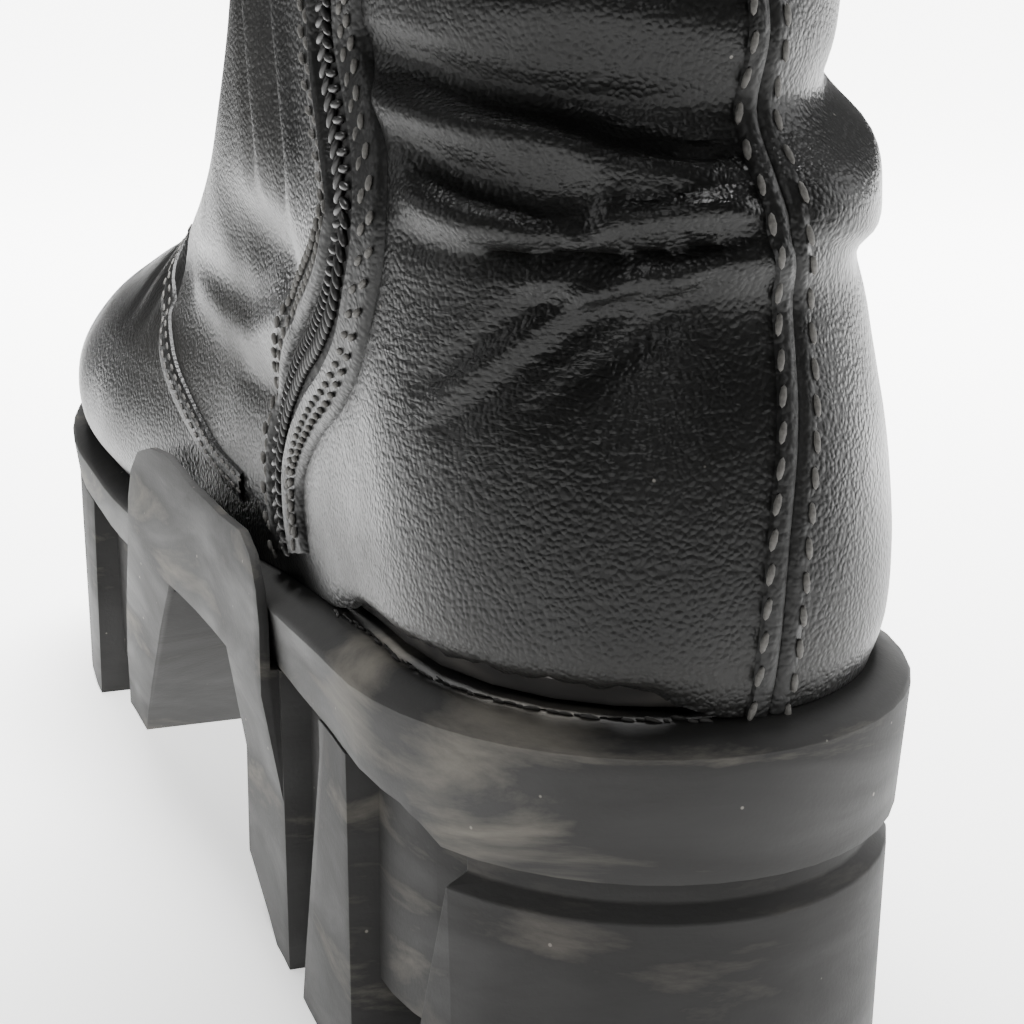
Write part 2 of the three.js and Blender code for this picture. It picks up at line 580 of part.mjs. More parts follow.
let laces = laceRun(0, -1, 0, 1);
for (let row = 0; row + 1 < THROAT.rows; row += 1) {
  laces = laces.add(laceRun(row, -1, row + 1, 1)).add(laceRun(row, 1, row + 1, -1));
}
addSolid('laces', laces, textile);

const eyeletProfile = [[EYELET_INNER, 0], [EYELET_OUTER, 0], [EYELET_OUTER - 0.5, EYELET_HEIGHT],
  [EYELET_INNER, EYELET_HEIGHT], [EYELET_INNER, 0]].map(([r, h]) => new THREE.Vector2(r, h));
[['medial', 1], ['lateral', -1]].forEach(([label, side]) => {
  for (let row = 0; row < THROAT.rows; row += 1) {
    const { point, normal } = frontPoint(eyeletX(row, side), rowHeight(row), GAP);
    const turned = new THREE.LatheGeometry(eyeletProfile, 12).deleteAttribute('uv').deleteAttribute('normal');
    const ring = mergeVertices(turned, 1e-4);
    const eyelet = addMesh(`eyelet_${label}_${row + 1}`, ring, metal);
    eyelet.quaternion.setFromUnitVectors(new THREE.Vector3(0, 1, 0), normal);
    eyelet.position.copy(point);
  }
});

// ---- zip slider and pull tab --------------------------------------------------------------------------------

const HINGE = { t: 26, z: 225, x: 48.8 };
const SLIDER = { halfWidth: 4.6, halfHeight: 6.0, base: 3.2, body: 2.2, earHalf: 2.9, earThick: 1.2 };
const PIN_RADIUS = 0.8;
const PULL = { thick: 1.3, length: 27, eye: 1.25 };

// Box, halfT either side of middleT along the foot, between two heights and two x planes.
function block(halfT, zLow, zHigh, xLow, xHigh, middleT = HINGE.t) {
  const geometry = new THREE.BoxGeometry(xHigh - xLow, halfT * 2, zHigh - zLow);
  geometry.translate((xLow + xHigh) / 2, -middleT, (zLow + zHigh) / 2);
  return toSolid(geometry);
}

function rod(radius, halfLength) {
  const geometry = new THREE.CylinderGeometry(radius, radius, halfLength * 2, 16);
  geometry.translate(HINGE.x, -HINGE.t, HINGE.z);
  return toSolid(geometry);
}

const sliderBody = block(SLIDER.halfWidth, HINGE.z - SLIDER.halfHeight, HINGE.z + SLIDER.halfHeight,
  HINGE.x - SLIDER.base - SLIDER.body, HINGE.x - SLIDER.base);
const ear = (side) => block(SLIDER.earThick / 2, HINGE.z - 1.6, HINGE.z + 1.6,
  HINGE.x - SLIDER.base - 0.5, HINGE.x + 1.5, HINGE.t + side * (SLIDER.earHalf + SLIDER.earThick / 2));
const pinReach = SLIDER.earHalf + SLIDER.earThick;
addSolid('zip_slider', sliderBody.add(ear(-1)).add(ear(1)).add(rod(PIN_RADIUS, pinReach - 0.1)), metal);

const pullHalf = SLIDER.earHalf - GAP;
const pullPlate = block(pullHalf, HINGE.z - PULL.length, HINGE.z,
  HINGE.x - PULL.thick / 2, HINGE.x + PULL.thick / 2);
const pullEye = rod(PULL.eye + 0.9, pullHalf).subtract(rod(PULL.eye, pullHalf + 1));
const pullWindow = block(pullHalf - 1.4, HINGE.z - PULL.length + 3, HINGE.z - 9, HINGE.x - 2, HINGE.x + 2);
const pullBlank = pullPlate.subtract(rod(PULL.eye + 0.4, pullHalf + 1)).add(pullEye);
addSolid('zip_pull', pullBlank.subtract(pullWindow), metal);

group.position.y = -TREAD_MIDDLE;

export default group;
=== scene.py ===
# %% [markdown]
# # Platform boot, right foot
# The boot is one long-worn ankle boot: a glossy black leather upper with slouched folds, a seam up the heel, a
# zip that sweeps down the inner side, a laced front, and a tall moulded rubber sole. The frame that is loaded
# below fixes every size. This script only makes the looks: finer meshes in the same places, and the finishes.
# Lengths in the tables are millimetres, and they turn into metres where a mesh is written.

# %% load the frame
import math
import bpy
import numpy as np
from mathutils import Matrix, Vector


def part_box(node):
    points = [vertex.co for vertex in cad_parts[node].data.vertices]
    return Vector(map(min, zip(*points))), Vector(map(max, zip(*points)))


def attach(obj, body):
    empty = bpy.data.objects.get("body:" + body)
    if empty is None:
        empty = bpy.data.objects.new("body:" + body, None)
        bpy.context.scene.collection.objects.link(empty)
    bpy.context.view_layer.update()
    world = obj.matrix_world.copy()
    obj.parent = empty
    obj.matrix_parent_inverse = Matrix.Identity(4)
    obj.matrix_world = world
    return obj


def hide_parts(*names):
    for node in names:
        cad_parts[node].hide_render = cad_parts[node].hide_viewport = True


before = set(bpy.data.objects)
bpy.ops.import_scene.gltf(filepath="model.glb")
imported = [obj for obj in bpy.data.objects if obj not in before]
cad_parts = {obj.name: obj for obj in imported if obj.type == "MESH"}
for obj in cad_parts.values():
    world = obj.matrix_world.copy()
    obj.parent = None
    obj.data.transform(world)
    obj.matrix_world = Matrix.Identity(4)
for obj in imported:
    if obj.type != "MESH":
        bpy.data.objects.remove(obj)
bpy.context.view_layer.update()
MM = 0.001
TREAD_MIDDLE = 19.5        # mm from the ankle's centre line back to the origin, the middle of the heel's tread

# %% [markdown]
# ## Camera, floor and lights
# The boot is seen from behind its inner side, a little from above. The floor is a pale sheet that runs past the
# picture; its glow is painted light, bright far off and dim towards the camera, with a painted dark band past the
# picture's left edge. Four soft lights are used because gloss on black leather is nothing but the shape of what it
# reflects: wide lights give the long soft highlights that a fold has.

# %% camera
CAMERA_PLACE = (0.1256, 0.3018 - TREAD_MIDDLE * MM, 0.1790)
CAMERA_TILT = 74.5
CAMERA_TURN = 160.6
camera_data = bpy.data.cameras.new("camera")
camera_data.lens = 84.375
camera_data.sensor_width = 36.0
camera_data.clip_start = 0.01
camera = bpy.data.objects.new("camera", camera_data)
camera.location = CAMERA_PLACE
camera.rotation_euler = (math.radians(CAMERA_TILT), 0, math.radians(CAMERA_TURN))
bpy.context.scene.collection.objects.link(camera)
bpy.context.scene.camera = camera
print("camera at", [round(v, 4) for v in CAMERA_PLACE])

# %% lights
LIGHTS = [
    {"name": "top_softbox", "place": (-0.10, -0.30, 0.95), "size": 0.55, "watts": 40.0},
    {"name": "front_softbox", "place": (0.95, -0.55, 0.50), "size": 0.45, "watts": 1.5},
    {"name": "rim_softbox", "place": (-0.95, 0.05, 0.45), "size": 0.55, "watts": 4.0},
    {"name": "fill_softbox", "place": (0.35, 0.90, 0.85), "size": 0.30, "watts": 2.0},
]
AIM = Vector((0.0, -0.05, 0.11))
for row in LIGHTS:
    data = bpy.data.lights.new(row["name"], "AREA")
    data.shape = "SQUARE"
    data.size = row["size"]
    data.energy = row["watts"]
    lamp = bpy.data.objects.new(row["name"], data)
    lamp.location = row["place"]
    lamp.rotation_euler = (AIM - lamp.location).to_track_quat("-Z", "Y").to_euler()
    bpy.context.scene.collection.objects.link(lamp)
world = bpy.data.worlds.new("studio")
world.use_nodes = True
world.node_tree.nodes["Background"].inputs["Color"].default_value = (0.9, 0.9, 0.9, 1)
world.node_tree.nodes["Background"].inputs["Strength"].default_value = 0.10
bpy.context.scene.world = world
print("lights:", len(LIGHTS))

# %% [markdown]
# ## Helpers for materials
# A finish is a small tree of nodes. `tint` turns a colour as printed on a chart (sRGB hex) into the linear
# numbers a shader needs, and `add` puts one node in a tree with its settings, values and links. The short
# functions after them each name one thing that the finishes below do again and again.

# %% material helpers
def tint(code):
    """Linear colour of an sRGB hex value such as '#2a2826'."""
    parts = [int(code[i:i + 2], 16) / 255 for i in (1, 3, 5)]
    return tuple(c / 12.92 if c <= 0.04045 else ((c + 0.055) / 1.055) ** 2.4 for c in parts) + (1.0,)


def add(tree, kind, settings=None, inputs=None):
    """One node. An input that is given a socket is linked, and any other value is set."""
    node = tree.nodes.new(kind)
    for key, value in (settings or {}).items():
        setattr(node, key, value)
    for key, value in (inputs or {}).items():
        if isinstance(value, bpy.types.NodeSocket):
            tree.links.new(value, node.inputs[key])
        else:
            node.inputs[key].default_value = value
    return node


def finish_of(name):
    """A new material with its tree and its shader."""
    material = bpy.data.materials.new(name)
    material.use_nodes = True
    return material, material.node_tree, material.node_tree.nodes["Principled BSDF"]


FACTOR, COLOUR_A, COLOUR_B, COLOUR_OUT = 0, 6, 7, 2        # sockets of a colour Mix node


def object_place(tree):
    """The point on the object, in metres."""
    return add(tree, "ShaderNodeTexCoord").outputs["Object"]


def noise(tree, spot, scale, detail, **more):
    """Cloudy noise, with about `scale` clouds to a metre."""
    return add(tree, "ShaderNodeTexNoise", inputs={"Vector": spot, "Scale": scale, "Detail": detail, **more})


def maths(tree, operation, *values):
    """A Math node's result."""
    return add(tree, "ShaderNodeMath", {"operation": operation}, dict(enumerate(values))).outputs[0]


def measure(tree, operation, first, second):
    """A Vector Math node's single number, such as a distance."""
    return add(tree, "ShaderNodeVectorMath", {"operation": operation}, {0: first, 1: second}).outputs["Value"]


def ranged(tree, value, low, high, at_low, at_high, step="LINEAR"):
    """A value carried over from low..high to at_low..at_high, and held there outside."""
    return add(tree, "ShaderNodeMapRange", {"interpolation_type": step},
               {"Value": value, 1: low, 2: high, 3: at_low, 4: at_high}).outputs[0]


def coloured(tree, factor, first, second):
    """A colour between two, each given as sRGB hex or as a socket."""
    first, second = (tint(c) if isinstance(c, str) else c for c in (first, second))
    return add(tree, "ShaderNodeMix", {"data_type": "RGBA"},
               {FACTOR: factor, COLOUR_A: first, COLOUR_B: second}).outputs[COLOUR_OUT]


def bumped(tree, strength, distance, relief_height, under=None):
    """A normal bent by a height, on top of another bent normal if there is one."""
    inputs = {"Strength": strength, "Distance": distance, "Height": relief_height}
    if under is not None:
        inputs["Normal"] = under
    return add(tree, "ShaderNodeBump", inputs=inputs).outputs[0]


def wire(tree, shader, **sockets):
    """Link sockets to the shader: colour, rough and normal."""
    for key, name in (("colour", "Base Color"), ("rough", "Roughness"), ("normal", "Normal")):
        if key in sockets:
            tree.links.new(sockets[key], shader.inputs[name])


print("helpers ready")

# %% [markdown]
# ## Floor
# A photographer's pale paper. It isn't part of the boot.

# %% floor
def deselect():
    """Leave edit mode and deselect every object."""
    if bpy.context.object and bpy.context.object.mode != "OBJECT":
        bpy.ops.object.mode_set(mode="OBJECT")
    bpy.ops.object.select_all(action="DESELECT")


def choose(piece):
    """Select one object only, and make it the active one."""
    deselect()
    bpy.context.view_layer.objects.active = piece
    piece.select_set(True)


deselect()
FLOOR_SIZE = 7.0
FLOOR_MIDDLE = -1.2
VIEW_LINE = (-0.332, -0.943, 0.0)       # level direction the camera looks in
FLOOR_DIM = -1.28                       # m along the view line, from the floor's own middle
FLOOR_BRIGHT = -0.25
GLOW_NEAR, GLOW_FAR = 0.06, 8.0
DARK_BAND_LINE = (0.992, -0.129, 0.0)        # level direction out past the picture's left edge
DARK_BAND_FROM, DARK_BAND_TO = -0.06, 0.12        # m along it, from the floor's own middle
DARK_BAND_SHADE = 0.02
bpy.ops.mesh.primitive_plane_add(size=FLOOR_SIZE, location=(0, FLOOR_MIDDLE, 0))
floor = bpy.context.object
floor.name = "floor"
paper, tree, shader = finish_of("pale_paper")
grain = add(tree, "ShaderNodeTexNoise", inputs={"Scale": 3.0, "Detail": 2.0})
shade = coloured(tree, grain.outputs["Fac"], "#f6f6f5", "#fbfbfa")
tree.links.new(shade, shader.inputs["Base Color"])
tree.links.new(shade, shader.inputs["Emission Color"])
# painted light: the paper glows strongly far off and dimly towards the camera
on_floor = object_place(tree)
painted_glow = ranged(tree, measure(tree, "DOT_PRODUCT", on_floor, VIEW_LINE), FLOOR_DIM, FLOOR_BRIGHT, GLOW_NEAR, GLOW_FAR,
              "SMOOTHSTEP")
# painted shade: the paper's glow is painted dark, like a flag, on the inner side past the picture's edge, so the
# boot's inner side reflects no glare
painted_dark_band = ranged(tree, measure(tree, "DOT_PRODUCT", on_floor, DARK_BAND_LINE), DARK_BAND_FROM, DARK_BAND_TO, 1.0, DARK_BAND_SHADE,
              "SMOOTHSTEP")
tree.links.new(maths(tree, "MULTIPLY", painted_glow, painted_dark_band), shader.inputs["Emission Strength"])
shader.inputs["Roughness"].default_value = 0.9
floor.data.materials.append(paper)
print("floor:", FLOOR_SIZE, "m")

# %% [markdown]
# ## The last: the boot's own shape as a function
# A shoemaker stretches the upper over a last. Here the last is a table with one row for each level, from the
# shelf of the sole up to the collar, and a smooth curve runs through each column. `t` is the distance forward
# of the middle of the heel. A row says where the level starts at the back and ends at the front and how high,
# how far it follows the shelf's curve (bow), its half-widths over heel and ball, how long its round ends are,
# the toe's lean to the inner side and the arch's hollow (pinch).

# %% the last's levels
COLUMNS = ("back", "backZ", "front", "frontZ", "bow", "rearM", "rearL", "foreM", "foreL",
           "roundB", "roundF", "lean", "pinch")
LEVELS = np.array([
    (-35.4, 71.0, 252.0, 64.2, 1.00, 35.6, 33.8, 41.2, 43.6, 42, 76, 3.6, 2.0),
    (-37.0, 77.0, 254.6, 70.0, 1.00, 37.0, 35.8, 45.2, 46.6, 43, 78, 3.6, 3.4),
    (-37.4, 86.0, 252.0, 79.0, 0.95, 37.6, 36.4, 45.8, 46.6, 44, 80, 3.5, 4.0),
    (-36.8, 95.0, 244.0, 87.4, 0.85, 37.8, 36.0, 42.2, 42.8, 44, 84, 3.2, 3.6),
    (-35.6, 103.0, 228.0, 94.6, 0.65, 37.8, 35.4, 36.8, 37.6, 44, 86, 2.6, 2.4),
    (-33.8, 110.5, 205.0, 101.6, 0.45, 37.8, 34.6, 34.4, 34.6, 44, 84, 1.8, 1.2),
    (-31.8, 117.5, 177.0, 111.0, 0.25, 38.0, 34.0, 36.4, 34.2, 44, 74, 0.9, 0.4),
    (-30.8, 124.0, 150.0, 124.0, 0.10, 38.2, 33.4, 37.8, 34.0, 44, 60, 0.4, 0.0),
    (-33.0, 130.5, 131.0, 138.0, 0.00, 37.8, 34.8, 38.4, 34.0, 44, 48, 0.2, 0.0),
    (-29.4, 138.0, 119.0, 152.4, 0.00, 36.4, 33.0, 38.4, 33.6, 42, 42, 0.0, 0.0),
    (-25.0, 145.6, 113.0, 166.0, 0.00, 36.0, 30.4, 38.2, 33.4, 42, 40, 0.0, 0.0),
    (-24.4, 160.0, 109.0, 182.0, 0.00, 37.0, 31.0, 37.8, 33.6, 42, 40, 0.0, 0.0),
    (-26.0, 190.0, 106.0, 205.0, 0.00, 39.0, 34.6, 38.4, 35.6, 44, 42, 0.0, 0.0),
    (-29.0, 236.0, 106.0, 240.0, 0.00, 42.0, 38.6, 40.6, 38.4, 48, 46, 0.0, 0.0),
])
SHELF = np.array([(-41, 70.0), (10, 69.4), (35, 67.4), (60, 64.6), (95, 60.2), (130, 57.0),
                  (160, 55.8), (192, 56.2), (216, 58.2), (240, 61.4), (262, 64.6)])   # t, height
print("last:", len(LEVELS), "levels")


# %% curves through the tables
def through(keys, values, x):
    """Smooth curve through a column of a table."""
    last = len(keys) - 1
    x = np.clip(x, keys[0], keys[-1])
    i = np.clip(np.searchsorted(keys, x, side="right") - 1, 0, last - 1)
    a = np.maximum(i - 1, 0)
    b = np.minimum(i + 2, last)
    span = keys[i + 1] - keys[i]
    f = (x - keys[i]) / span
    before = (values[i + 1] - values[a]) / (keys[i + 1] - keys[a]) * span
    after = (values[b] - values[i]) / (keys[b] - keys[i]) * span
    return ((2 * f ** 3 - 3 * f * f + 1) * values[i] + (f ** 3 - 2 * f * f + f) * before
            + (3 * f * f - 2 * f ** 3) * values[i + 1] + (f ** 3 - f * f) * after)


def smooth(low, high, x):
    """0 below low, 1 above high, and a soft step between."""
    k = np.clip((x - low) / (high - low), 0, 1)
    return k * k * (3 - 2 * k)


def shelf_at(t):
    return through(SHELF[:, 0], SHELF[:, 1], t)


def last_point(v, f, side):
    """Point (x, y, z) in mm: v from shelf to collar, f from heel to front, side +1 inner or -1 outer."""
    place = v * (len(LEVELS) - 1)
    keys = np.arange(len(LEVELS)).astype(float)
    row = {name: through(keys, LEVELS[:, k], place) for k, name in enumerate(COLUMNS)}
    length = row["front"] - row["back"]
    t = row["back"] + length * f
    inner = side > 0
    rear = np.where(inner, row["rearM"], row["rearL"])
    fore = np.where(inner, row["foreM"], row["foreL"])
    width = rear + (fore - rear) * smooth(0.2, 0.72, f)
    near_back = 1 - np.minimum(f * length / row["roundB"], 1)
    near_front = 1 - np.minimum((1 - f) * length / row["roundF"], 1)
    width = width * np.sqrt(np.maximum(1 - near_back ** 2, 0))
    width = width * np.maximum(1 - near_front ** 2.2, 0) ** (1 / 2.2)
    arch = np.where(inner, row["pinch"] * smooth(0.22, 0.42, f) * (1 - smooth(0.5, 0.7, f)), 0)
    x = side * width - arch + row["lean"] * smooth(0.55, 1, f)
    straight = shelf_at(row["back"]) + (shelf_at(row["front"]) - shelf_at(row["back"])) * f
    z = row["backZ"] + (row["frontZ"] - row["backZ"]) * f + row["bow"] * (shelf_at(t) - straight)
    return np.stack([x, -t - TREAD_MIDDLE, z], axis=-1)


print("heel tip of the shelf level:", np.round(last_point(np.array(0.0), np.array(0.0), np.array(1.0)), 1))

# %% [markdown]
# ## The throat
# The front is open under the laces. The opening has a round foot and widens towards the collar, so each level
# above that foot stops at the throat's edge instead of the middle of the front.

# %% throat
THROAT_MIDDLE = 2.0
THROAT_FOOT = 128.0
THROAT_HALF_FOOT = 11.0
THROAT_HALF_TOP = 17.0
THROAT_TOP = 252.0


def throat_half(z):
    """Half-width of the throat at a height."""
    centre = THROAT_FOOT + THROAT_HALF_FOOT
    round_foot = np.sqrt(np.maximum(THROAT_HALF_FOOT ** 2 - np.maximum(centre - z, 0) ** 2, 0))
    grow = np.clip((z - centre) / (THROAT_TOP - centre), 0, 1)
    return np.where(z < THROAT_FOOT, 0, round_foot + (THROAT_HALF_TOP - THROAT_HALF_FOOT) * grow)


def front_limit(v, side, extra=0.0, closed=True):
    """How far forward (f) a level runs before it meets the throat's edge, moved sideways by extra."""
    low = np.full_like(v, 0.6)
    high = np.ones_like(v)
    for _ in range(26):
        middle = (low + high) / 2
        point = last_point(v, middle, side)
        outside = side * (point[..., 0] - THROAT_MIDDLE) > throat_half(point[..., 2]) + extra
        low = np.where(outside, middle, low)
        high = np.where(outside, high, middle)
    if not closed:
        return low
    tip = last_point(v, np.ones_like(v), side)
    return np.where(tip[..., 2] < THROAT_FOOT, 1.0, low)


print("throat half-width at the collar:", float(throat_half(np.array(240.0))), "mm")

# %% [markdown]
# ## A fine net of the upper
# The whole upper is one net of points: rows go up from the shelf to the collar, columns go round from the
# front, down the outer side, round the heel and back along the inner side. `around` is the distance in
# millimetres from the heel's middle along a row, positive on the inner side. With the height it is a map of
# the leather on which seams and folds can be drawn.

# %% net
ROWS = 150
COLS = 281
level_z = through(np.arange(14.0), LEVELS[:, 1], np.linspace(0, 13, 600))
row_v = np.interp(np.linspace(level_z[0], level_z[-1], ROWS), level_z, np.linspace(0, 1, 600))
turn = np.linspace(-1, 1, COLS)
v_net = row_v[:, None] * np.ones((1, COLS))
side_net = np.where(turn >= 0, 1.0, -1.0)[None, :] * np.ones((ROWS, 1))
limit = np.where(side_net > 0, front_limit(v_net, np.ones_like(v_net)), front_limit(v_net, -np.ones_like(v_net)))
f_net = limit * (1 - np.cos(np.pi * np.abs(turn)))[None, :] / 2
net = last_point(v_net, f_net, side_net)
steps = np.linalg.norm(np.diff(net, axis=1), axis=2)
around = np.concatenate([np.zeros((ROWS, 1)), np.cumsum(steps, axis=1)], axis=1)
from_edge = np.minimum(around, around[:, -1:] - around)
around = around - around[:, [COLS // 2]]


def unit(vectors):
    """Vectors of length 1."""
    return vectors / np.maximum(np.linalg.norm(vectors, axis=-1, keepdims=True), 1e-9)


def net_normals(points):
    """Outward unit normals of a net."""
    across = np.gradient(points, axis=1)
    up = np.gradient(points, axis=0)
    normal = unit(np.cross(across, up))
    sign = np.sign(np.sum(normal[ROWS // 2, COLS // 2 + 40] * np.array([1, 0, 0])))
    return normal * sign


height = net[..., 2].copy()
print("net:", ROWS, "x", COLS, "perimeter at the shelf", round(float(around[0].max() - around[0].min())), "mm")

# %% [markdown]
# ## Folds
# Years of walking pressed the leather down behind the ankle. The folds are drawn on the map (distance around,
# height): a positive rise is a ridge, a negative one a trough, and width says how soft it is. A deep crease has a
# sharp floor, so its power is lower than a round ridge's 2.

# %% table of folds
FOLD_COLUMNS = ("rise", "width", "power", "path")
FOLDS = [
    (-2.9, 1.9, 1.5, [(34, 129), (24, 129.6), (18, 130), (11, 131), (5, 132), (-3, 133.4)]),
    (-1.5, 2.2, 1.6, [(50, 130), (38, 129), (29, 129.5)]),
    (-1.6, 3.0, 1.7, [(-4, 132.5), (-18, 129), (-32, 126), (-50, 127)]),
    (-1.0, 1.6, 1.7, [(18.5, 137), (21, 134), (24, 132), (28, 129.6)]),
    (3.2, 2.9, 2.0, [(52, 146.5), (39, 144.6), (30, 144.2), (23, 143.6), (16, 141.4), (9, 139.6), (1, 139.4)]),
    (-1.7, 1.4, 1.5, [(13, 136.2), (6, 138), (-2, 139.6)]),
    (2.1, 2.0, 2.0, [(17, 134.8), (10, 135.2), (3, 135.2), (-4, 134)]),
    (-1.9, 0.9, 1.5, [(16, 143.6), (11, 142.6), (4, 141.8), (-2, 141.6)]),
    (-1.5, 1.0, 1.5, [(14, 145.6), (6, 144.4), (-3, 143.4)]),
    (-2.4, 3.0, 2.0, [(56, 153), (44, 151.6), (32, 149.4), (21, 148.2), (11, 147.6), (-2, 147)]),
    (-2.4, 3.0, 2.0, [(46, 141), (36, 138.4), (26, 136.6), (20, 138)]),
    (1.6, 2.6, 2.0, [(48, 135), (40, 133.6), (30, 132.6)]),
    (1.5, 4.4, 2.0, [(34, 160), (18, 160.5), (4, 158), (-8, 156)]),
    (-1.3, 5.0, 2.0, [(46, 170), (28, 172), (8, 170), (-12, 172)]),
    (1.3, 1.8, 2.0, [(26, 126.4), (15, 125.6), (6, 127.4)]),
    (-1.1, 1.7, 1.8, [(11, 127), (23, 119), (43, 106)]),
    (-1.0, 1.5, 1.8, [(18, 128), (31, 120), (47, 110)]),
    (-1.0, 1.9, 1.8, [(5, 126), (16, 118), (29, 109)]),
    (0.8, 1.8, 2.0, [(14, 128), (27, 119.6), (45, 108)]),
    (-3.2, 7.0, 2.0, [(104, 118), (122, 118), (140, 117)]),
    (2.0, 4.2, 2.0, [(182, 102), (160, 100), (140, 100), (118, 106), (104, 110)]),
    (-1.2, 3.4, 1.9, [(150, 92), (130, 93), (116, 96)]),
    (1.0, 3.0, 2.0, [(98, 128), (99, 142), (97, 165)]),
    (-1.3, 2.8, 1.9, [(106, 126), (107, 142), (105, 170)]),
    (1.2, 3.2, 2.0, [(116, 126), (116, 144), (112, 172)]),
    (-1.1, 2.8, 1.9, [(126, 128), (124, 146), (119, 166)]),
    (1.7, 4.4, 2.0, [(-10, 136), (-24, 137), (-40, 140), (-58, 145)]),
    (-1.9, 3.8, 1.8, [(-8, 148), (-26, 148), (-44, 152), (-60, 158)]),
    (-2.2, 4.6, 1.9, [(-60, 150), (-78, 140), (-96, 128), (-112, 120)]),
    (1.4, 4.2, 2.0, [(-70, 158), (-88, 148), (-106, 138)]),
    (-1.7, 4.6, 2.0, [(-96, 116), (-118, 110), (-140, 106)]),
    (-1.2, 5.0, 2.0, [(-30, 172), (-50, 176), (-72, 174)]),
    (-0.9, 6.0, 2.0, [(-20, 200), (-44, 203), (-70, 198)]),
    (-0.9, 6.0, 2.0, [(10, 204), (34, 200), (54, 206)]),
]


def off_line(path, a, b):
    """Distance of points (a, b) from a line through the path, and how far along it they are (0 to 1)."""
    best = np.full(a.shape, 1e9)
    share = np.zeros(a.shape)
    pairs = list(zip(path[:-1], path[1:]))
    for i, ((a0, b0), (a1, b1)) in enumerate(pairs):
        k = np.clip(((a - a0) * (a1 - a0) + (b - b0) * (b1 - b0)) / ((a1 - a0) ** 2 + (b1 - b0) ** 2), 0, 1)
        gone = np.hypot(a - a0 - k * (a1 - a0), b - b0 - k * (b1 - b0))
        share = np.where(gone < best, (i + k) / len(pairs), share)
        best = np.minimum(best, gone)
    return best, share


relief = np.zeros((ROWS, COLS))
for row in FOLDS:
    fold = dict(zip(FOLD_COLUMNS, row))
    distance, share = off_line(fold["path"], around, height)
    taper = np.sqrt(np.clip(4 * (share + 0.06) * (1.06 - share), 0, 1))
    relief += fold["rise"] * taper * np.exp(-(distance / fold["width"]) ** fold["power"])
print("folds:", len(FOLDS), "relief from", round(float(relief.min()), 1), "to", round(float(relief.max()), 1))

# %% [markdown]
# Over the ball of the foot the vamp bends with each step, so soft creases cross it. At the shelf, the cement
# has let go behind the arch: there the leather's edge stands off the sole and leaves a dark gap. Everywhere
# else the edge is brought down onto the shelf.

# %% toe creases and the lower edge
GAP_FROM = 4.0
GAP_TO = 92.0
GAP_RISE = 3.4
toward_toe = -net[..., 1] - TREAD_MIDDLE
on_top = smooth(84, 98, height)
for crease_t, depth in ((150, 1.3), (163, 1.1), (177, 0.8)):
    wave = 3 * np.sin(net[..., 0] / 11)
    relief -= on_top * depth * np.exp(-((toward_toe - crease_t - wave) / 3.2) ** 2)
near_edge = 1 - smooth(0, 9, height - shelf_at(toward_toe))
gap_window = smooth(GAP_FROM - 3, GAP_FROM + 12, around) * (1 - smooth(GAP_TO - 26, GAP_TO, around))
ragged = 0.6 * np.sin(around * 0.9) * np.sin(around * 0.37 + 1.0)
relief -= near_edge * gap_window * 0.7
normals = net_normals(net)
skin = net + normals * relief[..., None]
seated = skin[..., 2] - near_edge * 0.85 * (1 - gap_window)
skin[..., 2] = seated + near_edge ** 2 * gap_window * (GAP_RISE + ragged)
skin_normals = net_normals(skin)
print("glue line open from", GAP_FROM, "to", GAP_TO, "mm round from the heel's middle")

# %% [markdown]
# ## Making a mesh from a net
# `net_mesh` adds Blender's own grid and moves its points to the net's places. The upper then gets its
# thickness from a Solidify modifier, the way a pattern cut from flat hide does.


# %% mesh helpers
def net_mesh(name, points):
    """Object from a net (rows, columns, 3) in mm, with its faces as a grid."""
    rows, cols = points.shape[:2]
    deselect()
    bpy.ops.mesh.primitive_grid_add(x_subdivisions=cols - 1, y_subdivisions=rows - 1, size=1)
    piece = bpy.context.object
    piece.name = name
    piece.data.name = name
    count = len(piece.data.vertices)
    flat = np.empty(count * 3)
    piece.data.vertices.foreach_get("co", flat)
    flat = flat.reshape(-1, 3)
    col = np.rint((flat[:, 0] + 0.5) * (cols - 1)).astype(int)
    row = np.rint((flat[:, 1] + 0.5) * (rows - 1)).astype(int)
    piece.data.vertices.foreach_set("co", (points[row, col] * MM).ravel())
    piece.data.update()
    return piece, row, col


def apply_modifier(piece, kind, **settings):
    """Add a modifier, set it up and apply it."""
    choose(piece)
    modifier = piece.modifiers.new(kind.lower(), kind)
    for key, value in settings.items():
        setattr(modifier, key, value)
    bpy.ops.object.modifier_apply(modifier=modifier.name)


def in_edit(piece, *operations):
    """Run edit-mode operators, given as (operator, settings), on all of a piece."""
    choose(piece)
    bpy.ops.object.mode_set(mode="EDIT")
    bpy.ops.mesh.select_all(action="SELECT")
    for operator, settings in operations:
        operator(**settings)
    bpy.ops.object.mode_set(mode="OBJECT")


def smooth_shade(piece, degrees):
    """Shade smooth, but keep edges sharper than so many degrees."""
    choose(piece)
    bpy.ops.object.shade_smooth_by_angle(angle=math.radians(degrees))


def face_outward(piece, towards):
    """Flip an open sheet if its faces look against the direction given by a function of the face centre."""
    total = 0.0
    for number in range(0, len(piece.data.polygons), 37):
        polygon = piece.data.polygons[number]
        total += polygon.normal.dot(towards(polygon.center))
    if total < 0:
        in_edit(piece, (bpy.ops.mesh.flip_normals, {}))


def from_axis(centre):
    """Away from the boot's long axis, a little above the sole."""
    return Vector((centre.x, 0 if -0.22 < centre.y < -0.02 else centre.y + 0.05, 0.3 * (centre.z - 0.09)))


print("mesh helpers ready")

# %% upper
WALL = 2.0
upper, upper_row, upper_col = net_mesh("upper_leather", skin)
for label in ("wrinkle", "dust"):
    upper.data.attributes.new(label, "FLOAT", "POINT")
upper.data.attributes.new("place", "FLOAT_VECTOR", "POINT")
place = np.stack([around, height, np.zeros_like(height)], axis=-1) * MM
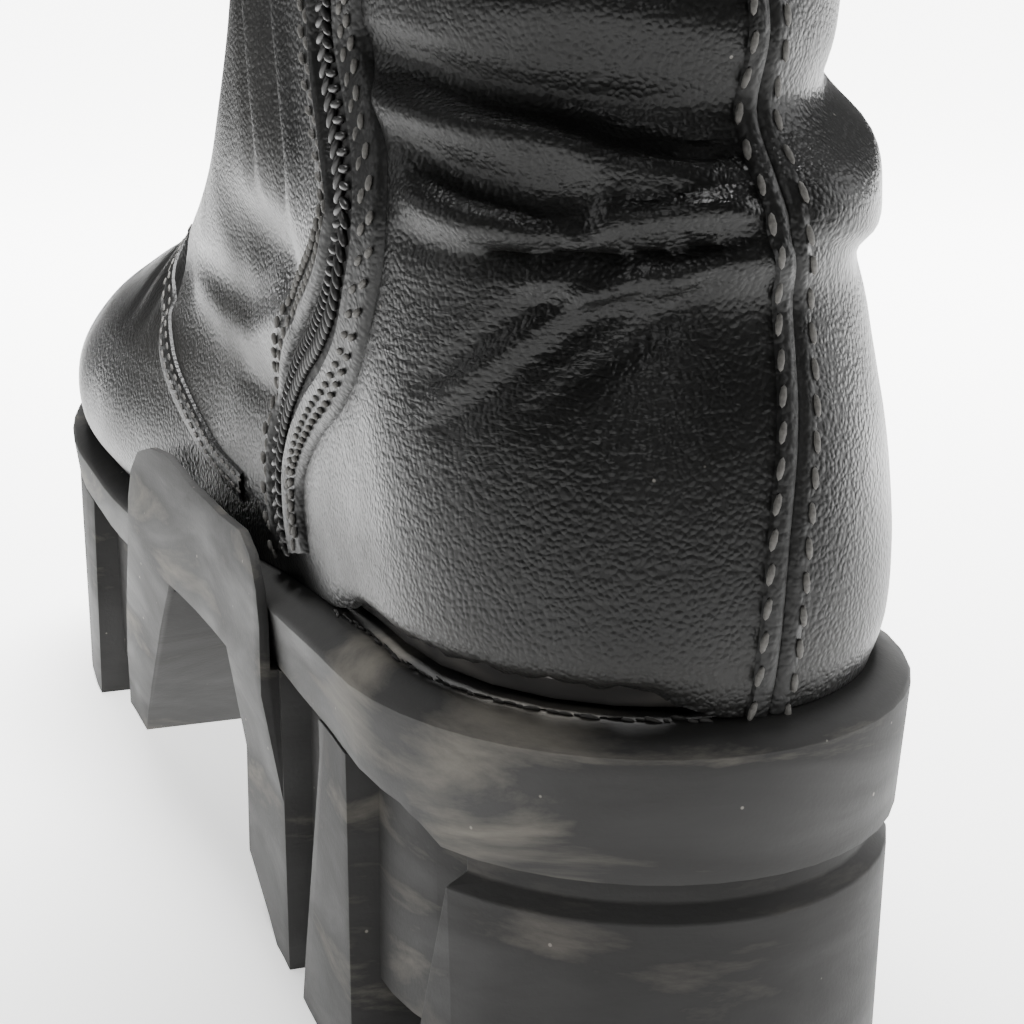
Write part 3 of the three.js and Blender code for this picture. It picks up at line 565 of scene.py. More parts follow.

# Where fine wrinkles gather, and patches of dust and of painted sheen, paler and duller where the light's broad
# reflection lies: centre (around, height), reach each way, strength.
WRINKLED = [
    ((26, 117), (26, 12), 1.0),
    ((8, 139), (22, 7), 1.0),
    ((46, 107), (20, 12), 0.8),
    ((60, 150), (30, 12), 0.4),
    ((-50, 140), (50, 14), 0.7),
    ((110, 108), (30, 12), 0.4),
]
DUST_AND_SHEEN = [
    ((66, 80), (26, 9), 0.9),
    ((20, 76), (40, 5), 0.5),
    ((-20, 80), (30, 9), 0.5),
    ((125, 140), (26, 30), 0.8),
    ((150, 100), (40, 10), 0.9),
    ((64, 134), (9, 14), 0.6),
    ((180, 84), (60, 12), 0.8),
]


def patches(rows):
    """Soft oval patches added up and held under 1."""
    total = np.zeros((ROWS, COLS))
    for at, reach, much in rows:
        total += much * np.exp(-((around - at[0]) / reach[0]) ** 2 - ((height - at[1]) / reach[1]) ** 2)
    return np.minimum(total, 1)


for label, rows in (("wrinkle", WRINKLED), ("dust", DUST_AND_SHEEN)):
    upper.data.attributes[label].data.foreach_set("value", patches(rows)[upper_row, upper_col])
upper.data.attributes["place"].data.foreach_set("vector", place[upper_row, upper_col].ravel())
in_edit(upper, (bpy.ops.mesh.remove_doubles, {"threshold": 0.00002}))
face_outward(upper, from_axis)
bpy.context.view_layer.objects.active = upper
print("upper:", len(upper.data.vertices), "points on the outside")

# %% [markdown]
# ## Strips laid on the leather
# Seams, zip tapes and borders all follow the leather. `locate` finds the place on the net that a point of the
# map stands for, and `lay` runs a strip along a path: its section is a list of (sideways, height) in mm.


# %% places on the net
def sample(field, row, col):
    """Value of a net field between its points."""
    row = np.clip(row, 0, ROWS - 1.001)
    col = np.clip(col, 0, COLS - 1.001)
    r = row.astype(int)
    c = col.astype(int)
    a = (row - r)[..., None] if field.ndim == 3 else row - r
    b = (col - c)[..., None] if field.ndim == 3 else col - c
    low = field[r, c] * (1 - b) + field[r, c + 1] * b
    high = field[r + 1, c] * (1 - b) + field[r + 1, c + 1] * b
    return low * (1 - a) + high * a


def slopes(field, row, col):
    """Change of a net field over one row and over one column."""
    return (sample(field, row + 0.5, col) - sample(field, row - 0.5, col),
            sample(field, row, col + 0.5) - sample(field, row, col - 0.5))


def locate(first, second, a, b, columns=slice(0, COLS)):
    """Row and column where two net fields have the values a and b, within a range of columns."""
    start = columns.start
    one = first[:, columns]
    two = second[:, columns]
    gap = (one[None] - a[:, None, None]) ** 2 + (two[None] - b[:, None, None]) ** 2
    best = gap.reshape(len(a), -1).argmin(axis=1)
    row = (best // one.shape[1]).astype(float)
    col = (best % one.shape[1] + start).astype(float)
    for _ in range(4):
        f0 = sample(first, row, col) - a
        g0 = sample(second, row, col) - b
        fr, fc = slopes(first, row, col)
        gr, gc = slopes(second, row, col)
        det = fr * gc - fc * gr
        det = np.where(np.abs(det) < 1e-6, 1e-6, det)
        row = np.clip(row - np.clip((f0 * gc - g0 * fc) / det, -2, 2), 0, ROWS - 1)
        col = np.clip(col - np.clip((g0 * fr - f0 * gr) / det, -2, 2), start, columns.stop - 1)
    return row, col


def stations(path, spacing):
    """Evenly spaced points along a smooth curve through a path, with the unit direction across it."""
    path = np.array(path, float)
    keys = np.concatenate([[0], np.cumsum(np.linalg.norm(np.diff(path, axis=0), axis=1))])
    dense = np.linspace(0, keys[-1], 600)
    curve = np.stack([through(keys, path[:, k], dense) for k in (0, 1)], axis=1)
    length = np.concatenate([[0], np.cumsum(np.linalg.norm(np.diff(curve, axis=0), axis=1))])
    count = max(2, int(round(length[-1] / spacing)) + 1)
    at = np.linspace(0, length[-1], count)
    points = np.stack([np.interp(at, length, curve[:, k]) for k in (0, 1)], axis=1)
    along = unit(np.gradient(points, axis=0))
    return points, np.stack([along[:, 1], -along[:, 0]], axis=1)


REAR_MAP = (around, height)


def slide(row, col, aim):
    """The net place nearest to a point in space, found by small steps from a place near it."""
    for _ in range(6):
        down, over = slopes(skin, row, col)
        gap = aim - sample(skin, row, col)
        dd, oo, do = (down * down).sum(1), (over * over).sum(1), (down * over).sum(1)
        gd, go = (gap * down).sum(1), (gap * over).sum(1)
        det = np.maximum(dd * oo - do * do, 1e-9)
        row = np.clip(row + np.clip((gd * oo - go * do) / det, -3, 3), 0, ROWS - 1)
        col = np.clip(col + np.clip((go * dd - gd * do) / det, -3, 3), 0, COLS - 1)
    return row, col


def soften(values, rounds):
    """Even out a row of points, with its ends kept."""
    values = values.copy()
    for _ in range(rounds):
        values[1:-1] = (values[:-2] + 2 * values[1:-1] + values[2:]) / 4
    return values


def beside(path, spacing, offset, fields, columns, phase=0.0):
    """Net places beside a path, at a true distance from it over the leather."""
    points, across = stations(path, spacing)
    along = np.stack([-across[:, 1], across[:, 0]], axis=1)
    points = points + along * phase
    row, col = locate(fields[0], fields[1], points[:, 0], points[:, 1], columns)
    middle = sample(net, row, col)
    forward = unit(soften(np.gradient(middle, axis=0), 40))
    sideways = np.cross(unit(soften(sample(normals, row, col), 12)), forward)
    nudged = locate(fields[0], fields[1], points[:, 0] + across[:, 0] * 2, points[:, 1] + across[:, 1] * 2, columns)
    away = sample(net, *nudged) - middle
    sideways *= np.sign(np.median((away * sideways).sum(1)))
    return slide(row, col, sample(skin, row, col) + sideways * offset)


print("places ready")


# %% strips and stitches
def on_leather(row, col, lift):
    """Points in mm standing off the leather by lift at places of the net, and the normals there."""
    normal = unit(sample(skin_normals, row, col))
    return sample(skin, row, col) + normal * np.reshape(lift, (-1, 1)), normal


def lay(name, path, section, spacing=1.6, fields=REAR_MAP, columns=slice(0, COLS), thick=0.5):
    """Strip along a path with a section of (sideways, height) points; the sheet gets its thickness inwards."""
    lines = [on_leather(*beside(path, spacing, side, fields, columns), rise)[0] for side, rise in section]
    piece, _, _ = net_mesh(name, np.stack(lines, axis=1))
    face_outward(piece, lambda centre: Vector(
        skin_normals.reshape(-1, 3)[np.argmin(np.sum((skin.reshape(-1, 3) * MM - np.array(centre)) ** 2, axis=1))]))
    apply_modifier(piece, "SOLIDIFY", thickness=thick * MM, offset=-1.0)
    smooth_shade(piece, 50)
    return piece


def beads(name, size, frames, segments=6, rings=4):
    """One joined mesh of rounded bars of a size (length, width, height) at frames (origin, x, y, z), in mm."""
    seed = seed_bead(*size, segments, rings)
    base = np.array([vertex.co for vertex in seed.data.vertices]) / MM
    faces = [list(polygon.vertices) for polygon in seed.data.polygons]
    origins, xs, ys, zs = [np.array(part) for part in zip(*frames)]
    placed = (origins[:, None] + base[None, :, :1] * xs[:, None] + base[None, :, 1:2] * ys[:, None]
              + base[None, :, 2:] * zs[:, None])
    count = len(base)
    mesh = bpy.data.meshes.new(name)
    all_faces = [[v + k * count for v in face] for k in range(len(frames)) for face in faces]
    mesh.from_pydata((placed.reshape(-1, 3) * MM).tolist(), [], all_faces)
    mesh.polygons.foreach_set("use_smooth", [True] * len(mesh.polygons))
    mesh.update()
    piece = bpy.data.objects.new(name, mesh)
    bpy.context.scene.collection.objects.link(piece)
    bpy.data.objects.remove(seed, do_unlink=True)
    return piece


def seed_bead(length, width, tall, segments, rings):
    """A small rounded bar, long in X, that stands for one stitch or tooth."""
    deselect()
    bpy.ops.mesh.primitive_uv_sphere_add(segments=segments, ring_count=rings, radius=0.5 * MM)
    bead = bpy.context.object
    bpy.ops.object.mode_set(mode="EDIT")
    bpy.ops.mesh.select_all(action="SELECT")
    bpy.ops.transform.rotate(value=math.pi / 2, orient_axis="Y", center_override=(0, 0, 0))
    bpy.ops.transform.resize(value=(length, width, tall), center_override=(0, 0, 0))
    bpy.ops.object.mode_set(mode="OBJECT")
    return bead


def bead_row(path, offset, pitch, lift, slant=0.0, fields=REAR_MAP, columns=slice(0, COLS), phase=0.0):
    """Frames for beads along a path, offset sideways, each turned by slant degrees from the path."""
    place_here, normal = on_leather(*beside(path, pitch, offset, fields, columns, phase), lift)
    forward = unit(np.gradient(place_here, axis=0))
    sideways = np.cross(normal, forward)
    angle = math.radians(slant)
    x_axis = forward * math.cos(angle) + sideways * math.sin(angle)
    y_axis = np.cross(normal, x_axis)
    return list(zip(place_here, x_axis, y_axis, normal))


print("strips ready")

# %% [markdown]
# ## Heel seam
# The two quarters meet at the heel. A narrow tape covers the join, sewn down each edge, with a groove where
# the edges meet under it. The thread is thick and its stitches stand up from the leather in small fuzzy bars.

# %% heel seam
SEAM = [(-3.5, 70.6), (-4.0, 78), (-5.2, 93), (-7.8, 111), (-8.0, 126), (-6.8, 133), (-5.8, 138),
        (-5.4, 145), (-5.8, 152), (-6.0, 165), (-6.0, 200), (-6.0, 234)]
SEAM_HALF = 2.9
seam_section = [(-SEAM_HALF - 0.5, -0.25), (-SEAM_HALF, 0.55), (-1.7, 0.75), (-0.55, 0.6), (-0.1, 0.1),
                (0.35, 0.6), (1.6, 0.75), (SEAM_HALF, 0.55), (SEAM_HALF + 0.5, -0.25)]
heel_tape = lay("heel_seam_tape", SEAM, seam_section, thick=0.45)
STITCH_PITCH = 4.4
frames = bead_row(SEAM, -SEAM_HALF + 0.1, STITCH_PITCH, 0.75, slant=9)
frames += bead_row(SEAM, SEAM_HALF - 0.1, STITCH_PITCH, 0.75, slant=-9, phase=1.4)
heel_stitches = beads("heel_seam_stitches", (3.1, 1.2, 0.95), frames)
print("heel seam:", len(frames), "stitches, pitch", STITCH_PITCH, "mm")

# %% [markdown]
# ## Zip
# The zip starts by the shelf under the arch, sweeps back towards the ankle and climbs to the collar. From the
# middle outwards it has two rows of moulded teeth that meet in a chevron, woven tapes, and a folded leather
# border each side with two rows of thick stitches.

# %% zip
ZIP_PATH = [(114, 71), (117, 78), (116.5, 87), (109, 96), (96, 104.5), (82, 111.5), (71.5, 118.5), (66.5, 125.5),
            (66.3, 132), (68.2, 139), (69.8, 145), (70.2, 152), (69.5, 160), (68, 176), (67, 204), (67, 232)]
TAPE_HALF = 6.2
tape_section = [(-TAPE_HALF, 0.5), (-3.4, 0.8), (-1.6, 0.9), (0, 0.7), (1.6, 0.9), (3.4, 0.8), (TAPE_HALF, 0.5)]
zip_tape = lay("zip_tape_cloth", ZIP_PATH, tape_section, spacing=1.5, thick=0.7)
TOOTH_PITCH = 2.1
frames = bead_row(ZIP_PATH, -1.35, TOOTH_PITCH, 1.35, slant=62)
frames += bead_row(ZIP_PATH, 1.35, TOOTH_PITCH, 1.35, slant=-62, phase=1.05)
zip_teeth = beads("zip_teeth", (3.6, 1.35, 1.5), frames, segments=8, rings=5)
print("zip:", len(frames), "teeth, pitch", TOOTH_PITCH, "mm")

# %% zip borders
BORDER_IN = 5.2
BORDER_OUT = 12.4


def border_section(sign):
    """A folded leather edge: a round fold by the tape, flat under the stitches, thinned at its outer edge."""
    profile = [(BORDER_IN - 0.4, 0.3), (BORDER_IN, 1.5), (BORDER_IN + 0.9, 2.05), (BORDER_IN + 2.0, 1.75),
               (8.6, 1.35), (10.2, 1.25), (BORDER_OUT - 0.8, 1.0), (BORDER_OUT, 0.3), (BORDER_OUT + 0.3, -0.4)]
    return [(sign * side, rise) for side, rise in (profile if sign > 0 else profile[::-1])]


border_rear = lay("zip_border_rear", ZIP_PATH, border_section(1), spacing=1.5, thick=0.8)
border_front = lay("zip_border_front", ZIP_PATH, border_section(-1), spacing=1.5, thick=0.8)
frames = []
for offset, phase in ((8.4, 0.0), (10.9, 1.6), (-8.2, 0.5), (-10.6, 2.0)):
    frames += bead_row(ZIP_PATH, offset, 3.4, 1.5, slant=28 if offset > 0 else -28, phase=phase)
zip_stitches = beads("zip_stitches", (2.3, 1.15, 1.0), frames)
print("zip borders:", len(frames), "stitches")

# %% [markdown]
# ## Vamp seam
# The vamp, the piece over the toes, is lapped under the quarter in front of the zip. The lap shows as a curved
# step with a double row of stitching.

# %% vamp seam
VAMP_SEAMS = {
    "inner": [(146, 73.2), (165, 75.5), (184, 81.5), (198, 88), (212, 97), (222, 106)],
    "outer": [(-146, 72.0), (-165, 75), (-184, 81), (-198, 88), (-212, 97), (-222, 106)],
}
lap_section = [(-2.9, -0.3), (-2.5, 0.55), (-1.2, 0.85), (0.6, 0.6), (2.2, 0.25), (3.4, -0.3)]
vamp_pieces = []
frames = []
for label, path in VAMP_SEAMS.items():
    mirrored = [(-a, b) for a, b in lap_section][::-1]
    section = lap_section if label == "inner" else mirrored
    vamp_pieces.append(lay("vamp_lap_" + label, path, section, thick=0.5))
    for offset in (-1.7, 0.4) if label == "inner" else (1.7, -0.4):
        frames += bead_row(path, offset, 3.2, 0.8)
vamp_stitches = beads("vamp_stitches", (2.4, 0.6, 0.5), frames)
print("vamp seam:", len(frames), "stitches")

# %% [markdown]
# ## Eyestays and collar
# Beside the throat a second layer of leather, the eyestay, carries the eyelets. It follows the throat's edge,
# so it is drawn on another map: the distance from that edge, with the height. A rolled binding closes the
# collar.

# %% eyestays
eyestays = []
frames = []
STAY_WIDTH = 14.5
stay_section = [(0.1, -1.2), (0.15, 0.5), (0.8, 0.95), (4.0, 0.9), (8.0, 0.9), (12.0, 0.85),
                (STAY_WIDTH - 0.4, 0.7), (STAY_WIDTH + 0.2, -0.3)]
for label, columns in (("outer", slice(0, COLS // 2)), ("inner", slice(COLS // 2 + 1, COLS))):
    path = [(0.0, z) for z in (141, 150, 165, 180, 195, 210, 225, 236.5)]
    piece = lay("eyestay_" + label, path, stay_section, fields=(from_edge, height), columns=columns, thick=0.8)
    eyestays.append(piece)
    for offset in (2.2, STAY_WIDTH - 1.9):
        frames += bead_row(path, offset, 3.1, 1.05, fields=(from_edge, height), columns=columns)
eyestay_stitches = beads("eyestay_stitches", (2.3, 0.6, 0.5), frames)


def tube(name, points, radius, sides=10):
    """Round cord along points in mm, as a mesh with closed ends."""
    curve = bpy.data.curves.new(name, "CURVE")
    curve.dimensions = "3D"
    curve.bevel_depth = radius * MM
    curve.bevel_resolution = max(0, sides // 4 - 1)
    curve.use_fill_caps = True
    spline = curve.splines.new("POLY")
    spline.points.add(len(points) - 1)
    spline.points.foreach_set("co", np.c_[np.array(points) * MM, np.ones(len(points))].ravel())
    piece = bpy.data.objects.new(name, curve)
    bpy.context.scene.collection.objects.link(piece)
    choose(piece)
    bpy.ops.object.convert(target="MESH")
    piece = bpy.context.object
    in_edit(piece, (bpy.ops.mesh.remove_doubles, {"threshold": 0.00001}),
            (bpy.ops.mesh.normals_make_consistent, {"inside": False}))
    smooth_shade(piece, 60)
    return piece


collar_line = skin[-1, 2:-2] - skin_normals[-1, 2:-2] * (WALL / 2) + np.array([0, 0, 0.5])
collar_binding = tube("collar_binding", collar_line, 1.75, sides=12)
print("eyestays:", len(frames), "stitches; collar binding", len(collar_line), "points")

# %% tongue
TONGUE_FOOT = 113.0        # tucked under the vamp, below the throat's foot
TONGUE_EXTRA = 10.0
tongue_v = row_v[row_v > np.interp(TONGUE_FOOT, level_z, np.linspace(0, 1, 600)) - 0.02]
half_count = 15
tongue_rows = []
for v in tongue_v:
    outline = []
    for side in (-1.0, 1.0):
        edge = float(front_limit(np.array(v), np.array(side), TONGUE_EXTRA, closed=False))
        share = edge + (1 - edge) * np.sin(np.linspace(0, np.pi / 2, half_count))
        line = last_point(np.full(half_count, v), share, np.full(half_count, side))
        outline.append(line if side < 0 else line[::-1][1:])
    tongue_rows.append(np.concatenate(outline))
tongue_net = np.array(tongue_rows)
keep = tongue_net[:, half_count, 2] > TONGUE_FOOT
tongue_net = tongue_net[keep]
across = np.gradient(tongue_net, axis=1)
upward = np.gradient(tongue_net, axis=0)
tongue_normal = unit(np.cross(across, upward))
if tongue_normal[len(tongue_net) // 2, half_count, 1] > 0:
    tongue_normal = -tongue_normal
tongue_net = tongue_net - tongue_normal * 2.75
tongue_net[..., 2] += 2.5 * smooth(225, 242, tongue_net[..., 2])
tongue, _, _ = net_mesh("tongue_leather", tongue_net)
face_outward(tongue, lambda centre: Vector((0, -1, 0.2)))
apply_modifier(tongue, "SOLIDIFY", thickness=2.2 * MM, offset=-1.0)
smooth_shade(tongue, 50)
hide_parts("tongue")
print("tongue:", tongue_net.shape[:2])

# %% [markdown]
# ## Eyelets and lace
# Each eyelet is a small enamelled ring. The lace goes across at the foot of the throat, then crosses from row
# to row, one run over the other, and dives into the eyelets. Its ends stop at the top pair.

# %% eyelets
ROW_COUNT = 7
eyelet_places = {}
for label in ("medial", "lateral"):
    for number in range(1, ROW_COUNT + 1):
        node = f"eyelet_{label}_{number}"
        low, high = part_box(node)
        centre = (np.array(low) + np.array(high)) / 2 / MM
        gap = np.sum((skin - centre) ** 2, axis=2)
        row, col = np.unravel_index(gap.argmin(), gap.shape)
        normal = skin_normals[row, col]
        deselect()
        bpy.ops.mesh.primitive_torus_add(major_radius=3.2 * MM, minor_radius=0.95 * MM, major_segments=24,
                                         minor_segments=8)
        ring = bpy.context.object
        ring.name = f"eyelet_ring_{label}_{number}"
        turned = Vector(normal).to_track_quat("Z", "Y").to_matrix().to_4x4()
        flat_ring = Matrix.Diagonal((1, 1, 0.75, 1))
        ring.data.transform(Matrix.Translation(Vector((centre + normal * 0.45) * MM)) @ turned @ flat_ring)
        smooth_shade(ring, 60)
        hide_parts(node)
        eyelet_places[label, number] = (centre, normal, ring)
print("eyelets:", len(eyelet_places))


# %% lace
def lace_run(start, end, lift, over=0.0):
    """Points of one run of lace, from inside one eyelet, over the throat and into another."""
    (a, normal_a, _), (b, normal_b, _) = eyelet_places[start], eyelet_places[end]
    points = []
    for f in np.linspace(0, 1, 29):
        base = a * (1 - f) + b * f
        normal = normal_a * (1 - f) + normal_b * f
        normal = normal / np.linalg.norm(normal)
        inside = 4 * f * (1 - f)
        bow = 3.0 * inside
        rise = lift + bow + over * np.exp(-((f - 0.5) / 0.2) ** 2)
        dive = min(f, 1 - f) / 0.09
        points.append(base + normal * (rise if dive >= 1 else rise * math.sin(dive * math.pi / 2) - 2.6 * (1 - dive)))
    return np.array(points)


lace_pieces = []
runs = [(("lateral", 1), ("medial", 1), 0.0)]
for number in range(1, ROW_COUNT):
    runs.append((("lateral", number), ("medial", number + 1), 0.0))
    runs.append((("medial", number), ("lateral", number + 1), 2.9))
for k, (start, end, over) in enumerate(runs):
    lace_pieces.append(tube(f"lace_run_{k}", lace_run(start, end, 2.4, over), 1.55, sides=12))
deselect()
for piece in lace_pieces:
    piece.select_set(True)
bpy.context.view_layer.objects.active = lace_pieces[0]
bpy.ops.object.join()
laces = bpy.context.object
laces.name = "lace_cord"
laces.data.name = "lace_cord"
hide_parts("laces")
print("lace:", len(runs), "runs")

# %% [markdown]
# ## Rubber and hardware
# The hard parts keep the frame's shape. A copy of each is merged, its flat faces are joined, and its edges get
# the small round that a mould or a stamping leaves.


# %% refined copies
def refined(node, name, width, degrees=32, segments=2):
    """Finer copy of a frame node, with rounded edges, that stands for it."""
    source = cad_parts[node]
    piece = bpy.data.objects.new(name, source.data.copy())
    piece.data.name = name
    piece.data.materials.clear()
    bpy.context.scene.collection.objects.link(piece)
    in_edit(piece, (bpy.ops.mesh.remove_doubles, {"threshold": 0.00002}),
            (bpy.ops.mesh.dissolve_limited, {"angle_limit": math.radians(0.6)}))
    apply_modifier(piece, "BEVEL", width=width * MM, segments=segments, limit_method="ANGLE",
                   angle_limit=math.radians(degrees), use_clamp_overlap=True, loop_slide=False)
    smooth_shade(piece, degrees)
    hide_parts(node)
    return piece


platform = refined("platform", "platform_rubber", 0.7)
outsole = refined("outsole", "outsole_rubber", 1.4)
heel_block = refined("heel_block", "heel_block_rubber", 0.7)
insole = refined("insole", "insole_cloth", 0.5)
slider = refined("zip_slider", "zip_slider_metal", 0.35)
pull = refined("zip_pull", "zip_pull_metal", 0.25)
print("refined:", {piece.name: len(piece.data.polygons) for piece in (platform, outsole, heel_block, pull)})

# %% [markdown]
# ## Opened glue line
# Behind the arch the cement has let go. Under the lifted edge lies a torn, lumpy line of old glue, darker than the
# rubber; the darkness is partly the glue's own and partly painted shade of the deep crack.

# %% glue line
glue_path = [(a, 70.9) for a in np.linspace(GAP_FROM + 1, GAP_TO - 4, 12)]
frames = []
for k, (origin, x_axis, y_axis, normal) in enumerate(bead_row(glue_path, 0.0, 1.7, 0.0)):
    wobble = math.sin(k * 2.3) + 0.6 * math.sin(k * 5.1 + 1)
    size = 0.8 + 0.35 * math.sin(k * 3.7)
    lump = origin + normal * (0.2 + 0.35 * wobble)
    lump[2] = shelf_at(-lump[1] - TREAD_MIDDLE) + 0.15
    frames.append((lump, x_axis * size, y_axis * size, np.array([0, 0, 1.0]) * (0.6 + 0.3 * wobble)))
glue = beads("glue_line", (2.6, 1.3, 0.9), frames)
print("glue line:", len(frames), "lumps")

# %% [markdown]
# ## Upper's thickness
# The upper becomes a wall of its own thickness now that everything laid on it has its place.

# %% upper wall
upper.data.materials.clear()
apply_modifier(upper, "SOLIDIFY", thickness=WALL * MM, offset=-1.0, use_even_offset=False,
               material_offset=1, material_offset_rim=0)
smooth_shade(upper, 60)
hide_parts("upper")
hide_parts("zip_tape")
print("upper:", len(upper.data.polygons), "faces")

# %% [markdown]
# ## Black leather
# Full-grain hide with a rubbed gloss finish. The grain is a field of pebbles 0.8 to 1.2 mm across with fine valleys
# between them. Where the hide bends, the pebbles run together into wrinkles. In patches the leather is paler and
# duller: partly dust, partly a painted sheen where the light's broad reflection lies. The gloss is uneven, as it is
# on leather that has been polished by wear.


# %% leather
def leather_finish(name, base, lit, pebble_mm, gloss, on_map):
    """Pebbled glossy leather. on_map adds wrinkles, and patches of dust and painted sheen, from the upper's own
    attributes.
    """
    material, tree, shader = finish_of(name)
    spot = object_place(tree)
    cloud = noise(tree, spot, 38.0, 2.0).outputs["Fac"]
    drift = noise(tree, spot, 260.0, 2.0).outputs["Color"]
    bent = add(tree, "ShaderNodeMix", {"data_type": "VECTOR"}, {0: 0.0012, 4: spot, 5: drift}).outputs[1]
    pebble = add(tree, "ShaderNodeTexVoronoi", {"feature": "SMOOTH_F1"},
                 {"Vector": bent, "Scale": 1000 / pebble_mm, "Smoothness": 0.35})
    dome = ranged(tree, pebble.outputs["Distance"], 0.15, 0.75, 1.0, 0.0)
    pore = noise(tree, spot, 2600.0, 2.0).outputs["Fac"]
    colour = coloured(tree, cloud, base, lit)
    dull = ranged(tree, cloud, 0.3, 0.7, gloss, gloss + 0.16)
    soft = bumped(tree, 0.4, 0.0010, cloud)
    if on_map:
        place_here = add(tree, "ShaderNodeAttribute", {"attribute_name": "place"}).outputs["Vector"]
        much = add(tree, "ShaderNodeAttribute", {"attribute_name": "wrinkle"}).outputs["Fac"]
        dust = add(tree, "ShaderNodeAttribute", {"attribute_name": "dust"}).outputs["Fac"]
        # the wrinkles run down and away from the heel, about 35 degrees below level
        slanted = add(tree, "ShaderNodeMapping", inputs={"Vector": place_here, "Rotation": (0, 0, 0.62),
                                                         "Scale": (0.28, 1.0, 1.0)}).outputs[0]
        lines = noise(tree, slanted, 950.0, 3.0, Distortion=0.6).outputs["Fac"]
        soft = bumped(tree, 0.6, 0.00045, maths(tree, "MULTIPLY", lines, much), soft)
        speck = noise(tree, spot, 420.0, 6.0, Roughness=0.75).outputs["Fac"]
        # dust and painted sheen: the patches turn paler and duller, partly real dust and partly a painted reflection
        # of the light
        dust_and_sheen_veil = ranged(tree, maths(tree, "MULTIPLY", dust, speck), 0.12, 0.6, 0.0, 0.28)
        lint = add(tree, "ShaderNodeTexVoronoi", {"feature": "F1"}, {"Vector": spot, "Scale": 120.0})
        dot = ranged(tree, lint.outputs["Distance"], 0.035, 0.02, 0.0, 0.55)
        colour = coloured(tree, dot, coloured(tree, dust_and_sheen_veil, colour, "#4b4946"), "#8d8a84")
        dull = maths(tree, "MULTIPLY_ADD", dust_and_sheen_veil, 0.45, dull)
    grain_bump = bumped(tree, 0.7, 0.00013, dome, soft)
    wire(tree, shader, colour=colour, rough=dull, normal=bumped(tree, 0.35, 0.00006, pore, grain_bump))
    shader.inputs["IOR"].default_value = 1.36
    return material


hide = leather_finish("glossy_grain_leather", "#0c0c0c", "#181817", 0.78, 0.30, True)
trim_hide = leather_finish("trim_leather", "#0e0e0e", "#1a1a19", 0.9, 0.36, False)
soft_hide = leather_finish("soft_tongue_leather", "#101010", "#1c1c1b", 1.2, 0.45, False)
print("leather:", len(hide.node_tree.nodes), "nodes")

# %% [markdown]
# ## Sole rubber
# Moulded rubber fresh from a mould is dark and dull. On the street it turns grey: pale smears where it
# rubbed, dust in its pores, and small light specks of grit.


# %% rubber
SCRAPED = [        # centre and reach in metres, and how much
    ((0.034, 0.004, 0.060), 0.017, 1.0),
    ((0.038, -0.028, 0.066), 0.014, 0.8),
    ((0.026, 0.014, 0.046), 0.012, 0.7),
    ((0.030, -0.010, 0.022), 0.014, 0.7),
    ((0.010, 0.020, 0.024), 0.014, 0.5),
]


def rubber_finish(name, base, pale, smear):
    """Dusty scuffed rubber: smears that run slantwise over its walls, gathered where it was scraped."""
    material, tree, shader = finish_of(name)
    spot = object_place(tree)
    slanted = add(tree, "ShaderNodeMapping", inputs={"Vector": spot, "Rotation": (0.5, 0.3, 0.0),
                                                     "Scale": (0.45, 0.45, 1.6)}).outputs[0]
    wipe = noise(tree, slanted, 46.0, 7.0, Roughness=0.62, Distortion=0.5).outputs["Fac"]
    worn = 0.0
    for at, reach, much in SCRAPED:
        near = ranged(tree, measure(tree, "DISTANCE", spot, at), 0.3 * reach, 1.4 * reach, much, 0.0, "SMOOTHSTEP")
        worn = maths(tree, "MAXIMUM", near, worn)
    smears = ranged(tree, maths(tree, "MULTIPLY_ADD", worn, 0.16, wipe), 0.56, 0.78, 0.0, smear)
    cloud = coloured(tree, noise(tree, spot, 20.0, 4.0).outputs["Fac"], base, "#262524")
    grit = add(tree, "ShaderNodeTexVoronoi", {"feature": "F1"}, {"Vector": spot, "Scale": 150.0})
    dot = ranged(tree, grit.outputs["Distance"], 0.05, 0.03, 0.0, 0.5)
    colour = coloured(tree, dot, coloured(tree, smears, cloud, pale), "#9a958c")
    pore = noise(tree, spot, 1500.0, 3.0).outputs["Fac"]
    normal = bumped(tree, 0.45, 0.00009, pore, bumped(tree, 0.4, 0.0006, wipe))
    wire(tree, shader, colour=colour, rough=ranged(tree, wipe, 0.35, 0.7, 0.62, 0.85), normal=normal)
    return material


sole_rubber = rubber_finish("scuffed_sole_rubber", "#161615", "#7d786f", 0.75)
block_rubber = rubber_finish("scuffed_heel_rubber", "#151514", "#706b64", 0.6)
# the old cement is kept dark partly as painted shade of the deep crack under the lifted edge
glue_and_crack_shade = rubber_finish("old_cement_and_crack_shade", "#1a1917", "#3b3834", 0.5)
print("rubber:", len(sole_rubber.node_tree.nodes), "nodes")


# %% [markdown]
# ## Cloth, thread and enamel
# The tape and lining are woven, the lace is braided, the thread is waxed and a little furry, and the teeth
# are moulded acetal. Eyelets and zip hardware are pressed metal under black enamel.

# %% cloth, thread and enamel
def woven_finish(name, dark, light, thread_mm, rough):
    """Cloth with a raised over-and-under weave."""
    material, tree, shader = finish_of(name)
    spot = object_place(tree)
    warp, weft = [add(tree, "ShaderNodeTexWave", {"bands_direction": direction},
                      {"Vector": spot, "Scale": 1000 / thread_mm / 20, "Distortion": 0.6,
                       "Detail Scale": 2.0}).outputs["Fac"] for direction in ("Z", "DIAGONAL")]
    knot = maths(tree, "MULTIPLY", warp, weft)
    wire(tree, shader, colour=coloured(tree, knot, dark, light), normal=bumped(tree, 0.8, 0.00025, knot))
    shader.inputs["Roughness"].default_value = rough
    return material


